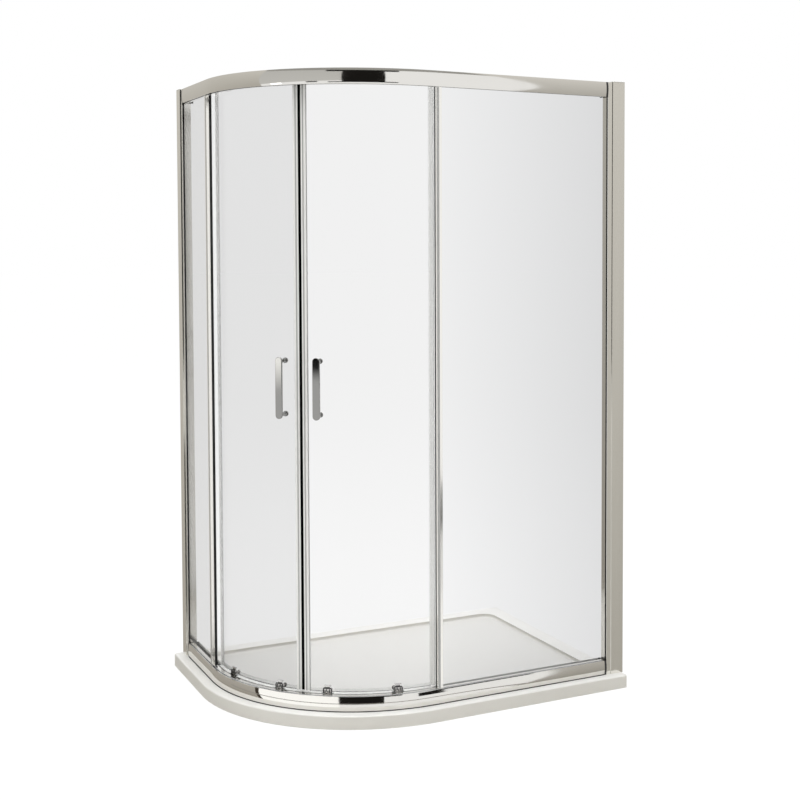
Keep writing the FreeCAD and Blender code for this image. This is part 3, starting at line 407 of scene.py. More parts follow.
class Finish(Enum):
    """The enclosure's finishes."""

    TRAY = Surface(
        "cast_white_tray", (0.84, 0.835, 0.815), (0.83, 0.825, 0.80), (0.30, 0.33), clouds=1.6,
        # The walls colour is painted shade on the tray's sides.
        grain=420.0, relief=0.03, relief_depth=0.00004, painted_side_shade=(0.685, 0.668, 0.620),
        # The recess colour is painted shade on the floor of the recess.
        painted_recess_shade=(0.74, 0.735, 0.715),
    )
    CHROME = Surface(
        "bright_chrome", (0.80, 0.785, 0.755), (0.74, 0.725, 0.69), (0.035, 0.085),
        clouds=2.5, grain=900.0, relief=0.01, metallic=1.0,
    )
    UPRIGHT_CHROME = Surface(
        "bright_upright", (0.90, 0.885, 0.845), (0.85, 0.835, 0.79), (0.08, 0.17),
        clouds=6.0, grain=260.0, relief=0.03, upright=0.03, metallic=1.0, slot="chrome",
    )
    CARRIAGE_CHROME = Surface(
        "plated_carriage", (0.62, 0.61, 0.60), (0.50, 0.49, 0.48), (0.08, 0.16),
        clouds=60.0, grain=1500.0, relief=0.04, metallic=1.0,
    )
    CHROME_PLASTIC = Surface(
        "plated_plastic", (0.70, 0.69, 0.66), (0.62, 0.61, 0.58), (0.10, 0.20),
        clouds=50.0, grain=1200.0, metallic=1.0,
    )
    # The grade is painted shade: the fixed pane darkens towards the wall end at +X.
    GLASS = pane(
        "toughened_glass", (0.853, 0.855, 0.858), (0.700, 0.702, 0.707), grade=(-0.02, 0.55)
    )
    # Every pane is the same clear glass: the darker tints of the short pane and the left door are
    # painted shade.
    SHORT_GLASS = pane(
        "short_pane_glass", (0.735, 0.735, 0.735), (0.72, 0.72, 0.72), clouds=0.8, slot="glass"
    )
    LEFT_DOOR_GLASS = pane(
        "left_door_glass", (0.772, 0.772, 0.772), (0.757, 0.758, 0.759), clouds=0.8, slot="glass"
    )
    RIGHT_DOOR_GLASS = pane(
        "right_door_glass", (0.883, 0.883, 0.883), (0.873, 0.873, 0.874), clouds=0.8, slot="glass"
    )
    # The handles are chrome: their dark base colour is painted shade, standing in for darker
    # reflections.
    HANDLE = Surface(
        "handle_metal", (0.322, 0.319, 0.308), (0.307, 0.304, 0.293), (0.03, 0.06),
        clouds=20.0, grain=900.0, relief=0.005, metallic=1.0, slot="chrome",
    )
    GASKET = Surface(
        "glazing_gasket", (0.012, 0.012, 0.012), (0.02, 0.02, 0.02), (0.5, 0.65),
        clouds=60.0, grain=1500.0, relief=0.1, specular=0.25, slot="rubber",
    )
    RIB = Surface(
        "grey_rib", (0.42, 0.42, 0.41), (0.37, 0.37, 0.36), (0.30, 0.42),
        clouds=8.0, grain=700.0, upright=0.05, slot="seal_profile",
    )
    FIN = Surface(
        "white_fin", (0.86, 0.865, 0.855), (0.82, 0.825, 0.815), (0.30, 0.42),
        clouds=10.0, grain=700.0, upright=0.05, transmission=0.2, slot="seal",
    )
    BLACK_PLASTIC = Surface(
        "black_moulding", (0.012, 0.012, 0.012), (0.022, 0.021, 0.020), (0.32, 0.50),
        clouds=80.0, grain=2200.0, relief=0.25,
    )
    STEEL = Surface(
        "stainless_steel", (0.60, 0.59, 0.57), (0.50, 0.49, 0.47), (0.18, 0.32),
        clouds=90.0, grain=1600.0, relief=0.08, metallic=1.0,
    )
    SEAL = Surface(
        "clear_seal", (0.975, 0.98, 0.975), (0.955, 0.96, 0.955), (0.12, 0.22),
        clouds=12.0, grain=900.0, relief=0.04, transmission=0.92, ior=1.3, specular=0.2,
    )
    CLEAR_STRIP = Surface(
        "clear_strip", (0.975, 0.975, 0.965), (0.95, 0.95, 0.94), (0.12, 0.22), clouds=10.0,
        grain=700.0, relief=0.04, upright=0.05, transmission=0.9, ior=1.3, specular=0.2,
        slot="seal_profile",
    )
    SEAL_PROFILE = Surface(
        "pale_strip", (0.84, 0.84, 0.82), (0.80, 0.80, 0.78), (0.22, 0.32),
        clouds=8.0, relief=0.04, upright=0.04,
    )
    MAGNET = Surface(
        "magnet_strip", (0.001, 0.001, 0.001), (0.002, 0.002, 0.002), (0.80, 0.92),
        clouds=60.0, grain=1500.0, relief=0.1, specular=0.0,
    )
    RUBBER = Surface(
        "stop_rubber", (0.03, 0.03, 0.03), (0.05, 0.048, 0.046), (0.55, 0.75),
        clouds=80.0, grain=1800.0, relief=0.3,
    )
    NYLON = Surface(
        "wheel_nylon", (0.80, 0.79, 0.76), (0.72, 0.71, 0.68), (0.30, 0.45),
        clouds=70.0, grain=1500.0, relief=0.12,
    )

    @property
    def slot(self) -> str:
        """Name of the record's material slot."""
        return self.value.slot or self.name.lower()


# ---- plan ----
class Side(Enum):
    """The two halves of the enclosure, as seen from outside its rounded corner."""

    LEFT = "left"
    RIGHT = "right"


class Place(Enum):
    """The ends of a door, where its rollers sit, by their angle back from the end of the curve."""

    REAR = 12.0
    FRONT = 36.0


@dataclass(frozen=True)
class Plan:
    """Plan of the frame: a quarter curve between a long and a short straight."""

    centre_x: float = -0.050
    centre_y: float = 0.100
    radius: float = 0.520
    long_straight: float = 0.650
    short_straight: float = 0.350

    def straight(self, side: Side) -> float:
        """Length of a side's straight stretch, up to the wall."""
        return self.long_straight if side is Side.RIGHT else self.short_straight

    def axes(self, side: Side, angle: float = 0.0) -> Matrix:
        """Local frame on the rail's outer face: X along the rail, Y inwards and Z up.

        Args:
            side: Half of the enclosure.
            angle: Degrees back from the end of the curve; 0 gives the straight stretch's frame.

        Returns:
            Matrix from that frame to the model's; on the left it mirrors.
        """
        turn = math.radians(angle)
        along = Vector((math.cos(turn), -math.sin(turn), 0.0))
        inward = Vector((math.sin(turn), math.cos(turn), 0.0))
        if side is Side.LEFT:
            along, inward = along.yxz, inward.yxz
        start = Vector((self.centre_x, self.centre_y, 0.0)) - inward * self.radius
        columns = (along, inward, Vector((0.0, 0.0, 1.0)), start)
        rows = [[column[row] for column in columns] for row in range(3)]
        return Matrix(rows + [[0.0, 0.0, 0.0, 1.0]])

    def point(
        self, side: Side, angle: float, s: float = 0.0, u: float = 0.0, z: float = 0.0
    ) -> Vector:
        """Point at a distance, a depth and a height in one of the local frames."""
        return self.axes(side, angle) @ Vector((s, u, z))

    def arc(self, side: Side, start: float, end: float, step: float) -> list[Vector]:
        """Points round the curve on the rail's outer face.

        Args:
            side: Half of the enclosure.
            start: First angle, in degrees.
            end: Last angle, in degrees.
            step: Largest step between two points, in degrees.

        Returns:
            The points, both ends included.
        """
        count = max(1, math.ceil(abs(end - start) / step))
        turns = (start + (end - start) * index / count for index in range(count + 1))
        return [self.point(side, turn) for turn in turns]


# ---- meshes ----
class Shaper:
    """Makes plain meshes with node trees and bmesh."""

    lathe_core = 0.001

    def __init__(self) -> None:
        """Build the node trees once."""
        self.sweeping, self.copying, self.coiling = sweep_tree(), copy_tree(), coil_tree()

    @staticmethod
    def wire(name: str, points: list[Vector], closed: bool) -> Piece:
        """Make an object of joined edges, as a path or an outline.

        Args:
            name: Name of the object.
            points: Its corners in order.
            closed: Whether the last corner joins the first.

        Returns:
            The object.
        """
        mesh = bpy.data.meshes.new(name)
        edges = [(index, index + 1) for index in range(len(points) - 1)]
        if closed:
            edges.append((len(points) - 1, 0))
        mesh.from_pydata([tuple(point) for point in points], edges, [])
        return stand(name, mesh)

    def sweep(
        self, path: list[Vector], section: Corners, finish: Finish, closed: bool = False
    ) -> Mesh:
        """Sweep a section along a path.

        Args:
            path: Points of the path, which is level.
            section: Corners of the section as (distance to the right of the travel, drop).
            finish: Finish of the result.
            closed: Whether the path is a ring.

        Returns:
            The swept mesh.
        """
        host = self.wire("path", path, closed)
        outline = self.wire("section", [Vector((x, y, 0.0)) for x, y in section], True)
        return self.sweeping.run(host, finish, Section=outline, Capped=not closed, Weld=WELD)

    def lathe(self, section: Corners, finish: Finish, steps: int) -> Mesh:
        """Turn a section about the Z axis.

        Args:
            section: Corners of the section as (radius, height).
            finish: Finish of the result.
            steps: Number of flats round the axis.

        Returns:
            The turned mesh.
        """
        core = self.lathe_core
        turns = [math.tau * index / steps for index in range(steps)]
        path = [Vector((math.cos(turn), math.sin(turn), 0.0)) * core for turn in turns]
        shifted = [(radius - core, -height) for radius, height in section]
        return self.sweep(path, shifted, finish, True)

    def copies(self, unit: Mesh, places: list[tuple[Vector, Vector]], finish: Finish) -> Mesh:
        """Set copies of a unit.

        Args:
            unit: Mesh of the unit, which stands along Z.
            places: Foot and direction of each copy.
            finish: Finish of the result.

        Returns:
            One mesh with every copy.
        """
        mesh = bpy.data.meshes.new("places")
        mesh.from_pydata([tuple(foot) for foot, _ in places], [], [])
        facing = mesh.attributes.new("facing", "FLOAT_VECTOR", "POINT")
        for point, (_, direction) in zip(facing.data, places):
            point.vector = direction
        return self.copying.run(stand("places", mesh), finish, Unit=stand("unit", unit))

    def prism(self, outlines: list[Corners], depths: Span, place: Matrix) -> Mesh:
        """Raise flat outlines into one clean mesh of prisms.

        Args:
            outlines: Corners of each outline as (distance along, height).
            depths: Depths of the front and back faces.
            place: Matrix to its place.

        Returns:
            The mesh.
        """
        work = bmesh.new()
        for corners in outlines:
            near, far = ([work.verts.new((x, u, z)) for x, z in corners] for u in depths)
            work.faces.new(near)
            work.faces.new(far)
            for index in range(len(corners)):
                work.faces.new((near[index - 1], near[index], far[index], far[index - 1]))
        mesh = bpy.data.meshes.new("prism")
        work.to_mesh(mesh)
        work.free()
        return self.clean(mesh, place)

    @staticmethod
    def clean(mesh: Mesh, place: Matrix | None = STILL, crease: float = CREASE) -> Mesh:
        """Weld a mesh, move it to its place, point its faces outwards and shade it.

        Args:
            mesh: Mesh to clean.
            place: Matrix to its place. None is for the copy of a CAD node's mesh, which already
                lies and points right, and gets single flat faces.
            crease: Edges sharper than this many degrees stay crisp.

        Returns:
            The same mesh.
        """
        work = bmesh.new()
        work.from_mesh(mesh)
        if place is None:
            bmesh.ops.remove_doubles(work, verts=work.verts, dist=NODE_WELD)
            limit = math.radians(FLAT_ANGLE)
            bmesh.ops.dissolve_limit(work, angle_limit=limit, verts=work.verts, edges=work.edges)
        else:
            bmesh.ops.remove_doubles(work, verts=work.verts, dist=WELD)
            bmesh.ops.transform(work, matrix=place, verts=work.verts)
            bmesh.ops.recalc_face_normals(work, faces=work.faces)
        for face in work.faces:
            face.smooth = True
        work.to_mesh(mesh)
        work.free()
        mesh.set_sharp_from_angle(angle=math.radians(crease))
        return mesh


# ---- laying out and dressing ----
@dataclass
class Dresser:
    """Puts finished pieces in the scene and says what they stand for."""

    nodes: dict[str, Piece]
    shaper: Shaper

    def paint(self, finish: Finish, *names: str) -> None:
        """Give CAD nodes a finish.

        Args:
            finish: Finish of the nodes.
            *names: Names of the nodes.
        """
        for name in names:
            self.nodes[name].material_slots[0].material = finish.value.material()
            LOG.info("dressed %s as %s", name, finish.value.name)

    def add(
        self, name: str, mesh: Mesh, finish: Finish, body: str, node: str | None = None
    ) -> Piece:
        """Add a piece that stands for a CAD node, or a small trim that the CAD model leaves out.

        Args:
            name: Name of the piece.
            mesh: Its mesh, in its place.
            finish: Its finish.
            body: CAD body that it moves with.
            node: CAD node that it stands for; a trim has none.

        Returns:
            The piece.
        """
        mesh.name = name
        mesh.materials.clear()
        mesh.materials.append(finish.value.material())
        piece = stand(name, mesh)
        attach(piece, body)
        if node is not None:
            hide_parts(node)
        finish.slot
        LOG.info("made %s for %s on %s: %d faces", name, node, body, len(mesh.polygons))
        return piece

    def refined(self, node: str, finish: Finish, body: str, rounding: float = 0.0) -> None:
        """Stand a welded copy of a CAD node in the node's place, with rounded edges where a
        rounding is given.

        Args:
            node: CAD node.
            finish: Finish of the copy.
            body: CAD body that it moves with.
            rounding: Width of the edge rounding.
        """
        mesh = self.shaper.clean(self.nodes[node].data.copy(), None)
        piece = self.add("fine_" + node, mesh, finish, body, node)
        if not rounding:
            piece.modifiers.new("flat faces", "WEIGHTED_NORMAL").keep_sharp = True
            return
        bevel = piece.modifiers.new("edge rounding", "BEVEL")
        bevel.width = rounding
        bevel.segments = 2
        bevel.limit_method = "ANGLE"
        bevel.angle_limit = math.radians(BEVEL_ANGLE)
        bevel.harden_normals = True


@dataclass
class Assembly:
    """A sub-assembly on the plan, whose pieces a dresser adds."""

    plan: Plan
    dresser: Dresser

    @property
    def shaper(self) -> Shaper:
        """Maker of its meshes."""
        return self.dresser.shaper


class Tray(Assembly):
    """Cast tray with a shallow well, whose finish paints shade on its sides and on the floor of the
    well.
    """

    def build(self) -> None:
        """Dress the tray."""
        self.dresser.refined("shower_tray", Finish.TRAY, "frame")


@dataclass
class Rails(Assembly):
    """The two bent rails, with their end blocks and stops."""

    low_base: float = 0.040
    high_base: float = 1.890
    height: float = 0.045
    bulge: float = 0.003
    bulge_steps: int = 28
    lip: float = 0.006
    depth: float = 0.0405
    wall: float = 0.002
    ledge: float = 0.003
    groove: Span = (0.0045, 0.0125)
    groove_floor: float = 0.018
    channel: Span = (0.0145, 0.0385)
    ledge_end: float = 0.0235
    end_cover: float = 0.066
    shares: tuple[float, ...] = (1.0, 0.5, 0.1, 0.01)
    step: float = 0.75
    crease: float = 20.0
    trims: tuple[tuple[str, Span, Span, Finish], ...] = (
        # A black strip under the bottom rail's face: partly a seal, partly painted shade in the gap
        # above the tray.
        ("rail_foot_seal", (0.0014, 0.0030), (0.0400, 0.0417), Finish.GASKET),
        ("front_glazing_lip", (0.0046, 0.0054), (0.0780, 0.0849), Finish.FIN),
        ("rear_glazing_lip", (0.0116, 0.0124), (0.0780, 0.0849), Finish.FIN),
        # A pale sheet, 0.08 mm thick, on the channel's far wall: painted light over the shade
        # inside the channel.
        ("track_liner", (0.03842, 0.03850), (0.0790, 0.0849), Finish.SEAL_PROFILE),
    )

    def straight(self, side: Side) -> list[Vector]:
        """Points on a side's straight stretch, from its end to the curve."""
        reach = self.plan.straight(side) - self.end_cover
        return [self.plan.point(side, 0.0, reach * share) for share in self.shares]

    def path(self) -> list[Vector]:
        """Path on the rail's outer face, from the long straight round to the short one."""
        curve = self.plan.arc(Side.RIGHT, 0.0, 90.0, self.step)
        return self.straight(Side.RIGHT) + curve + self.straight(Side.LEFT)[::-1]

    def section(self, base: float, upward: float) -> Corners:
        """Section of a rail, as (depth, drop).

        Args:
            base: Height of the rail's outer edge, by the tray or at the top.
            upward: 1 for the bottom rail and -1 for the top one.

        Returns:
            The corners.
        """
        half, top = self.height / 2, self.height
        sag_radius = (half**2 + self.bulge**2) / (2 * self.bulge)
        half_turn = math.asin(half / sag_radius)
        corners = []
        for index in range(self.bulge_steps + 1):
            turn = half_turn * (2 * index / self.bulge_steps - 1)
            corners.append((sag_radius * (1 - math.cos(turn)), half + sag_radius * math.sin(turn)))
        inner, under, end = top if upward > 0 else self.lip, top - self.ledge, self.ledge_end
        (front, back), (near, far) = self.groove, self.channel
        floor, wall = self.groove_floor, self.wall
        corners += [(front, top), (front, floor), (back, floor), (back, top)]
        corners += [(end, top), (end, under), (near, under), (near, wall)]
        corners += [(far, wall), (far, inner), (self.depth, inner), (self.depth, 0.0)]
        return [(u, -(base + upward * rise)) for u, rise in corners]

    def build(self) -> None:
        """Sweep both rails and their thin trims, and dress what sits in them."""
        bases = (("bottom_rail", self.low_base, 1.0), ("top_rail", self.high_base, -1.0))
        for node, base, upward in bases:
            mesh = self.shaper.sweep(self.path(), self.section(base, upward), Finish.CHROME)
            self.shaper.clean(mesh, crease=self.crease)
            self.dresser.add("bright_" + node, mesh, Finish.CHROME, "frame", node)
        for name, (front, back), (low, high), finish in self.trims:
            corners = [(front, -low), (front, -high), (back, -high), (back, -low)]
            mesh = self.shaper.sweep(self.path(), corners, finish)
            self.dresser.add(name, self.shaper.clean(mesh, crease=self.crease), finish, "frame")
        self.dresser.paint(Finish.BLACK_PLASTIC, "rail_end_blocks", "setting_blocks")
        self.dresser.paint(Finish.RUBBER, "door_stops")


@dataclass
class Posts(Assembly):
    """Wall profiles, jambs and the fixings between them.

    A screw's tip and head are given as shares: of the shank's radius and length, and of the
    head's radius and rise.
    """

    rounding: float = 0.0004
    shank: Span = (0.0020, 0.009)
    tip: Span = (0.55, 0.86)
    head: Span = (0.0038, 0.0020)
    head_shares: tuple[Span, ...] = (
        (1.0, 0.0), (1.0, 0.45), (0.86, 0.88), (0.60, 1.0), (0.38, 1.0), (0.30, 0.35), (0.0, 0.25),
    )
    screw_flats: int = 20
    screw_reach: float = 0.030
    screw_spacing: float = 0.700
    middle_height: float = 0.965
    seat: float = 0.036

    def screw(self) -> Mesh:
        """Make a screw with a dished pan head, seated at the origin, and its shank below.

        Returns:
            The screw's mesh.
        """
        (radius, length), (point, taper) = self.shank, self.tip
        section = [(0.0, -length), (radius * point, -length)]
        section += [(radius, -length * taper), (radius, 0.0)]
        section += [(self.head[0] * out, self.head[1] * rise) for out, rise in self.head_shares]
        return self.shaper.clean(self.shaper.lathe(section, Finish.STEEL, self.screw_flats))

    def jamb_screws(self) -> None:
        """Set the screws that lock the jambs in the wall profiles."""
        places = []
        for side in Side:
            s = self.plan.straight(side) - self.screw_reach
            inward = self.plan.axes(side).col[1].xyz
            for row in (-1, 0, 1):
                height = self.middle_height + row * self.screw_spacing
                places.append((self.plan.point(side, 0.0, s, self.seat, height), inward))
        mesh = self.shaper.copies(self.screw(), places, Finish.STEEL)
        self.shaper.clean(mesh)
        self.dresser.add("jamb_screw_set", mesh, Finish.STEEL, "frame", "jamb_screws")

    def build(self) -> None:
        """Dress the uprights and their fixings."""
        for side in Side:
            for kind in ("wall_profile_", "jamb_profile_"):
                node = kind + side.value
                self.dresser.refined(node, Finish.UPRIGHT_CHROME, "frame", self.rounding)
        for node in ("profile_caps", "jamb_screw_covers"):
            self.dresser.refined(node, Finish.CHROME_PLASTIC, "frame")
        self.jamb_screws()
        self.dresser.paint(Finish.STEEL, "rail_screws")


@dataclass
class FixedPanes(Assembly):
    """The two flat panes with their edge strips and gaskets."""

    rounding: float = 0.0003
    rib_s: Span = (0.0112, 0.0185)
    rib_u: Span = (0.0035, 0.0041)
    rib_z: Span = (0.0865, 1.8435)

    def build(self) -> None:
        """Dress the fixed glass and what seals it."""
        for side, glass in ((Side.LEFT, Finish.SHORT_GLASS), (Side.RIGHT, Finish.GLASS)):
            self.dresser.paint(glass, "fixed_glass_" + side.value)
            strip = "fixed_edge_profile_" + side.value
            self.dresser.refined(strip, Finish.UPRIGHT_CHROME, "frame", self.rounding)
            outlines = [rectangle(self.rib_s, self.rib_z)]
            mesh = self.shaper.prism(outlines, self.rib_u, self.plan.axes(side))
            self.dresser.add("fixed_edge_rib_" + side.value, mesh, Finish.RIB, "frame")
        self.dresser.paint(Finish.GASKET, "glass_gaskets", "fixed_edge_fins")


@dataclass
class SlidingDoor(Assembly):
    """One curved door with its strips, handle and running gear.

    A wheel's section and the marks on a foot housing's front are given as shares: the wheel's of
    its radius and width, and a mark's foot and head of the frame's height.
    """

    side: Side
    glass_u: Span = (0.0345, 0.0405)
    glass_z: Span = (0.089, 1.882)
    glass_angles: Span = (-1.710, 44.269)
    glass_step: float = 0.6
    glass_crease: float = 30.0
    pane_edge: float = 0.0009
    fine_rounding: float = 0.0003
    housing_rounding: float = 0.0004
    wheel_u: float = 0.0215
    wheel_width: float = 0.007
    wheel_radius: float = 0.011
    wheel_flats: int = 48
    wheel_dish: float = 0.14
    hub_play: float = 0.00006
    tread: tuple[Span, ...] = ((0.81, 0.0), (0.93, 0.0), (0.985, 0.09), (1.0, 0.28))
    hub: Span = (0.42, 0.47)
    web: float = 0.76
    bore_radius: float = 0.00305
    top_axle: float = 1.8593
    foot_axle: float = 0.0707
    spring_offset: float = 0.00945
    spring_u: float = 0.031
    spring_z: Span = (0.089, 0.0963)
    spring_radius: float = 0.0014
    spring_wire: float = 0.0002
    spring_turns: float = 5.0
    spring_crease: float = 60.0
    spring_play: float = 0.004
    release_travel: float = 0.005
    rib_width: float = 0.0042
    rib_u: Span = (0.0323, 0.0329)
    rib_angle: float = 43.66
    frame_z: Span = (0.0865, 0.1025)
    frame_half: float = 0.0135
    frame_bead: float = 0.0034
    frame_crop: float = 0.9
    frame_u: Span = (0.0262, 0.0271)
    frame_marks: tuple[tuple[float, float, float, float], ...] = (
        (-0.0072, 0.05, 0.62, 0.0022),
        (-0.0030, 0.28, 0.72, 0.0030),
        (0.0012, 0.05, 0.50, 0.0018),
        (0.0062, 0.10, 0.72, 0.0030),
    )
    lip_section: tuple[Span, ...] = (
        (0.0262, 0.0852), (0.0266, 0.0852), (0.0266, 0.0857),
        (0.0350, 0.0857), (0.0350, 0.0861), (0.0262, 0.0861),
    )
    lip_ends: Span = (-1.2, 44.7)
    lip_gap: float = 2.15
    lip_step: float = 0.75
    lip_crease: float = 20.0

    @property
    def body(self) -> str:
        """CAD body of the door."""
        return self.named("door")

    def named(self, kind: str, place: Place | None = None) -> str:
        """Name of one of the door's nodes, or of what sits at one of its ends."""
        return "_".join([kind, self.side.value] + ([place.name.lower()] if place else []))

    def bent(
        self, section: Corners, ends: Span, step: float, finish: Finish, crease: float
    ) -> Mesh:
        """Sweep a section round a stretch of the door's curve.

        Args:
            section: Corners of the section as (depth, height).
            ends: First and last angle, in degrees.
            step: Largest step between two points of the path, in degrees.
            finish: Finish of the result.
            crease: Edges sharper than this many degrees stay crisp.

        Returns:
            The mesh, in its place.
        """
        turn = 1.0 if self.side is Side.RIGHT else -1.0
        path = self.plan.arc(self.side, *ends, step)
        mesh = self.shaper.sweep(path, [(turn * u, -z) for u, z in section], finish)
        return self.shaper.clean(mesh, crease=crease)

    def glass(self) -> None:
        """Sweep the curved pane round its arc."""
        (front, back), (low, high), edge = self.glass_u, self.glass_z, self.pane_edge
        section = [(front, low + edge), (front + edge, low), (back - edge, low), (back, low + edge)]
        section += [(u, high - (z - low)) for u, z in reversed(section)]
        finish = Finish.RIGHT_DOOR_GLASS if self.side is Side.RIGHT else Finish.LEFT_DOOR_GLASS
        mesh = self.bent(section, self.glass_angles, self.glass_step, finish, self.glass_crease)
        name, node = self.named("curved_pane"), self.named("door_glass")
        self.dresser.add(name, mesh, finish, self.body, node)

    def wheel(self, kind: str, place: Place, height: float) -> None:
        """Turn a wheel with a crowned tread and a dished hub.

        Args:
            kind: Node's name before the side and place.
            place: End of the door.
            height: Height of the axle.
        """
        radius, width, play = self.wheel_radius, self.wheel_width, self.hub_play
        dish = width * self.wheel_dish
        half = [(self.bore_radius, play), (radius * self.hub[0], play)]
        half += [(radius * self.hub[1], dish), (radius * self.web, dish)]
        half += [(radius * out, width * rise) for out, rise in self.tread]
        section = half + [(out, width - rise) for out, rise in reversed(half)]
        mesh = self.shaper.lathe(section, Finish.NYLON, self.wheel_flats)
        lay = Matrix.Rotation(math.radians(-90.0), 4, "X")
        seat = Matrix.Translation((0.0, self.wheel_u, height))
        self.shaper.clean(mesh, self.plan.axes(self.side, place.value) @ seat @ lay)
        node = self.named(kind, place)
        self.dresser.add("turned_" + node, mesh, Finish.NYLON, node, node)

    def spring(self, place: Place) -> None:
        """Wind the spring that lifts a foot slider.

        Args:
            place: End of the door.
        """
        (low, high), wire = self.spring_z, self.spring_wire
        sizes = {"Coil": self.spring_radius - wire, "Wire": wire, "Height": high - low - 2 * wire}
        start = self.shaper.wire("coil", [Vector((0.0, 0.0, 0.0))], False)
        mesh = self.shaper.coiling.run(start, Finish.STEEL, Turns=self.spring_turns, **sizes)
        seat = Matrix.Translation((self.spring_offset, self.spring_u, low + wire))
        self.shaper.clean(mesh, self.plan.axes(self.side, place.value) @ seat, self.spring_crease)
        node = self.named("foot_spring", place)
        piece = self.dresser.add("wound_" + node, mesh, Finish.STEEL, self.body, node)
        foot = self.plan.point(self.side, place.value, self.spring_offset, self.spring_u, low)
        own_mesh(piece)

    def rib(self) -> None:
        """Lay the grey rib along the strip where the doors meet."""
        outlines = [rectangle((-self.rib_width / 2, self.rib_width / 2), self.glass_z)]
        place = self.plan.axes(self.side, self.rib_angle)
        mesh = self.shaper.prism(outlines, self.rib_u, place)
        self.dresser.add(self.named("leading_rib"), mesh, Finish.RIB, self.body)

    def foot_frames(self) -> None:
        """Frame the front of each foot housing with a dark bead round small ribs."""
        low, high = self.frame_z
        half, bead = self.frame_half, self.frame_bead
        crop, inner, rise = bead * self.frame_crop, half - bead, high - low
        edge = [(-half, low), (-half, high - crop), (crop - half, high)]
        edge += [(-along, z) for along, z in reversed(edge)]
        hollow = [(inner, low), (inner, high - bead), (-inner, high - bead), (-inner, low)]
        outlines = [edge + hollow]
        for middle, foot, head, width in self.frame_marks:
            span = (middle - width / 2, middle + width / 2)
            outlines.append(rectangle(span, (low + rise * foot, low + rise * head)))
        finish = Finish.BLACK_PLASTIC
        for place in Place:
            seat = self.plan.axes(self.side, place.value)
            mesh = self.shaper.prism(outlines, self.frame_u, seat)
            self.dresser.add(self.named("foot_frame", place), mesh, finish, self.body)

    def foot_lips(self) -> None:
        """Hang a lip from the foot of the drip seal, broken at the foot housings."""
        gaps = [place.value + edge for place in Place for edge in (-self.lip_gap, self.lip_gap)]
        stops = [self.lip_ends[0], *gaps, self.lip_ends[1]]
        finish = Finish.SEAL_PROFILE
        for index, ends in enumerate(zip(stops[::2], stops[1::2]), 1):
            mesh = self.bent(self.lip_section, ends, self.lip_step, finish, self.lip_crease)
            self.dresser.add(f"{self.named('foot_lip')}_{index}", mesh, finish, self.body)

    def build(self) -> None:
        """Make and dress everything that rides on the door."""
        self.glass()
        for kind, finish, rounding in (
            ("leading_seal", Finish.SEAL_PROFILE, self.fine_rounding),
            ("trailing_profile", Finish.CLEAR_STRIP, self.fine_rounding),
            ("magnet_strip", Finish.MAGNET, self.fine_rounding),
            ("handle", Finish.HANDLE, 0.0),
            ("foot_housings", Finish.CARRIAGE_CHROME, self.housing_rounding),
            ("top_carriages", Finish.CARRIAGE_CHROME, self.fine_rounding),
        ):
            self.dresser.refined(self.named(kind), finish, self.body, rounding)
        self.dresser.paint(Finish.STEEL, self.named("handle_bolts"), self.named("carriage_bolts"))
        clear = ("trailing_fin", "drip_seal", "handle_washers")
        self.dresser.paint(Finish.SEAL, *(self.named(kind) for kind in clear))
        self.rib()
        self.foot_frames()
        self.foot_lips()
        for place in Place:
            self.wheel("top_wheel", place, self.top_axle)
            self.wheel("foot_wheel", place, self.foot_axle)
            self.spring(place)
            slider = self.named("foot_slider", place)
            self.dresser.refined(slider, Finish.CARRIAGE_CHROME, slider, self.fine_rounding)


def rectangle(along: Span, height: Span) -> Corners:
    """Corners of an upright rectangle."""
    (start, end), (low, high) = along, height
    return [(start, low), (end, low), (end, high), (start, high)]


# ---- studio ----
@dataclass(frozen=True)
class Card:
    """A studio card that only shows in reflections: a strip of a drum round the curve's middle.

    Its azimuth is in degrees, and its glow fades from its low edge to its high one.
    """

    name: str
    azimuth: Span
    distance: float
    z: Span
    low: Colour = BLACK
    high: Colour = BLACK
    step: float = 3.0

    def build(self, plan: Plan) -> None:
        """Hang the card.

        Args:
            plan: Plan of the frame.
        """
        start, end = self.azimuth
        steps = max(2, math.ceil(abs(end - start) / self.step))
        turns = [math.radians(start + (end - start) * index / steps) for index in range(steps + 1)]
        x, y, reach = plan.centre_x, plan.centre_y, self.distance
        ring = [(x + reach * math.cos(turn), y + reach * math.sin(turn)) for turn in turns]
        corners = [(*spot, height) for height in self.z for spot in ring]
        mesh = bpy.data.meshes.new(self.name)
        faces = [(i, i + 1, i + steps + 2, i + steps + 1) for i in range(steps)]
        mesh.from_pydata(corners, [], faces)
        made = bpy.data.materials.new(self.name)
        bench = ShaderBench(made)
        tint = bench.blend(bench.along("Z", self.z), self.low, self.high)
        bench.node("OutputMaterial", {"Surface": bench.node("Emission", {"Color": tint})})
        mesh.materials.append(made)
        card = stand(self.name, mesh)
        for ray in ("camera", "diffuse", "transmission", "volume_scatter", "shadow"):
            setattr(card, "visible_" + ray, False)


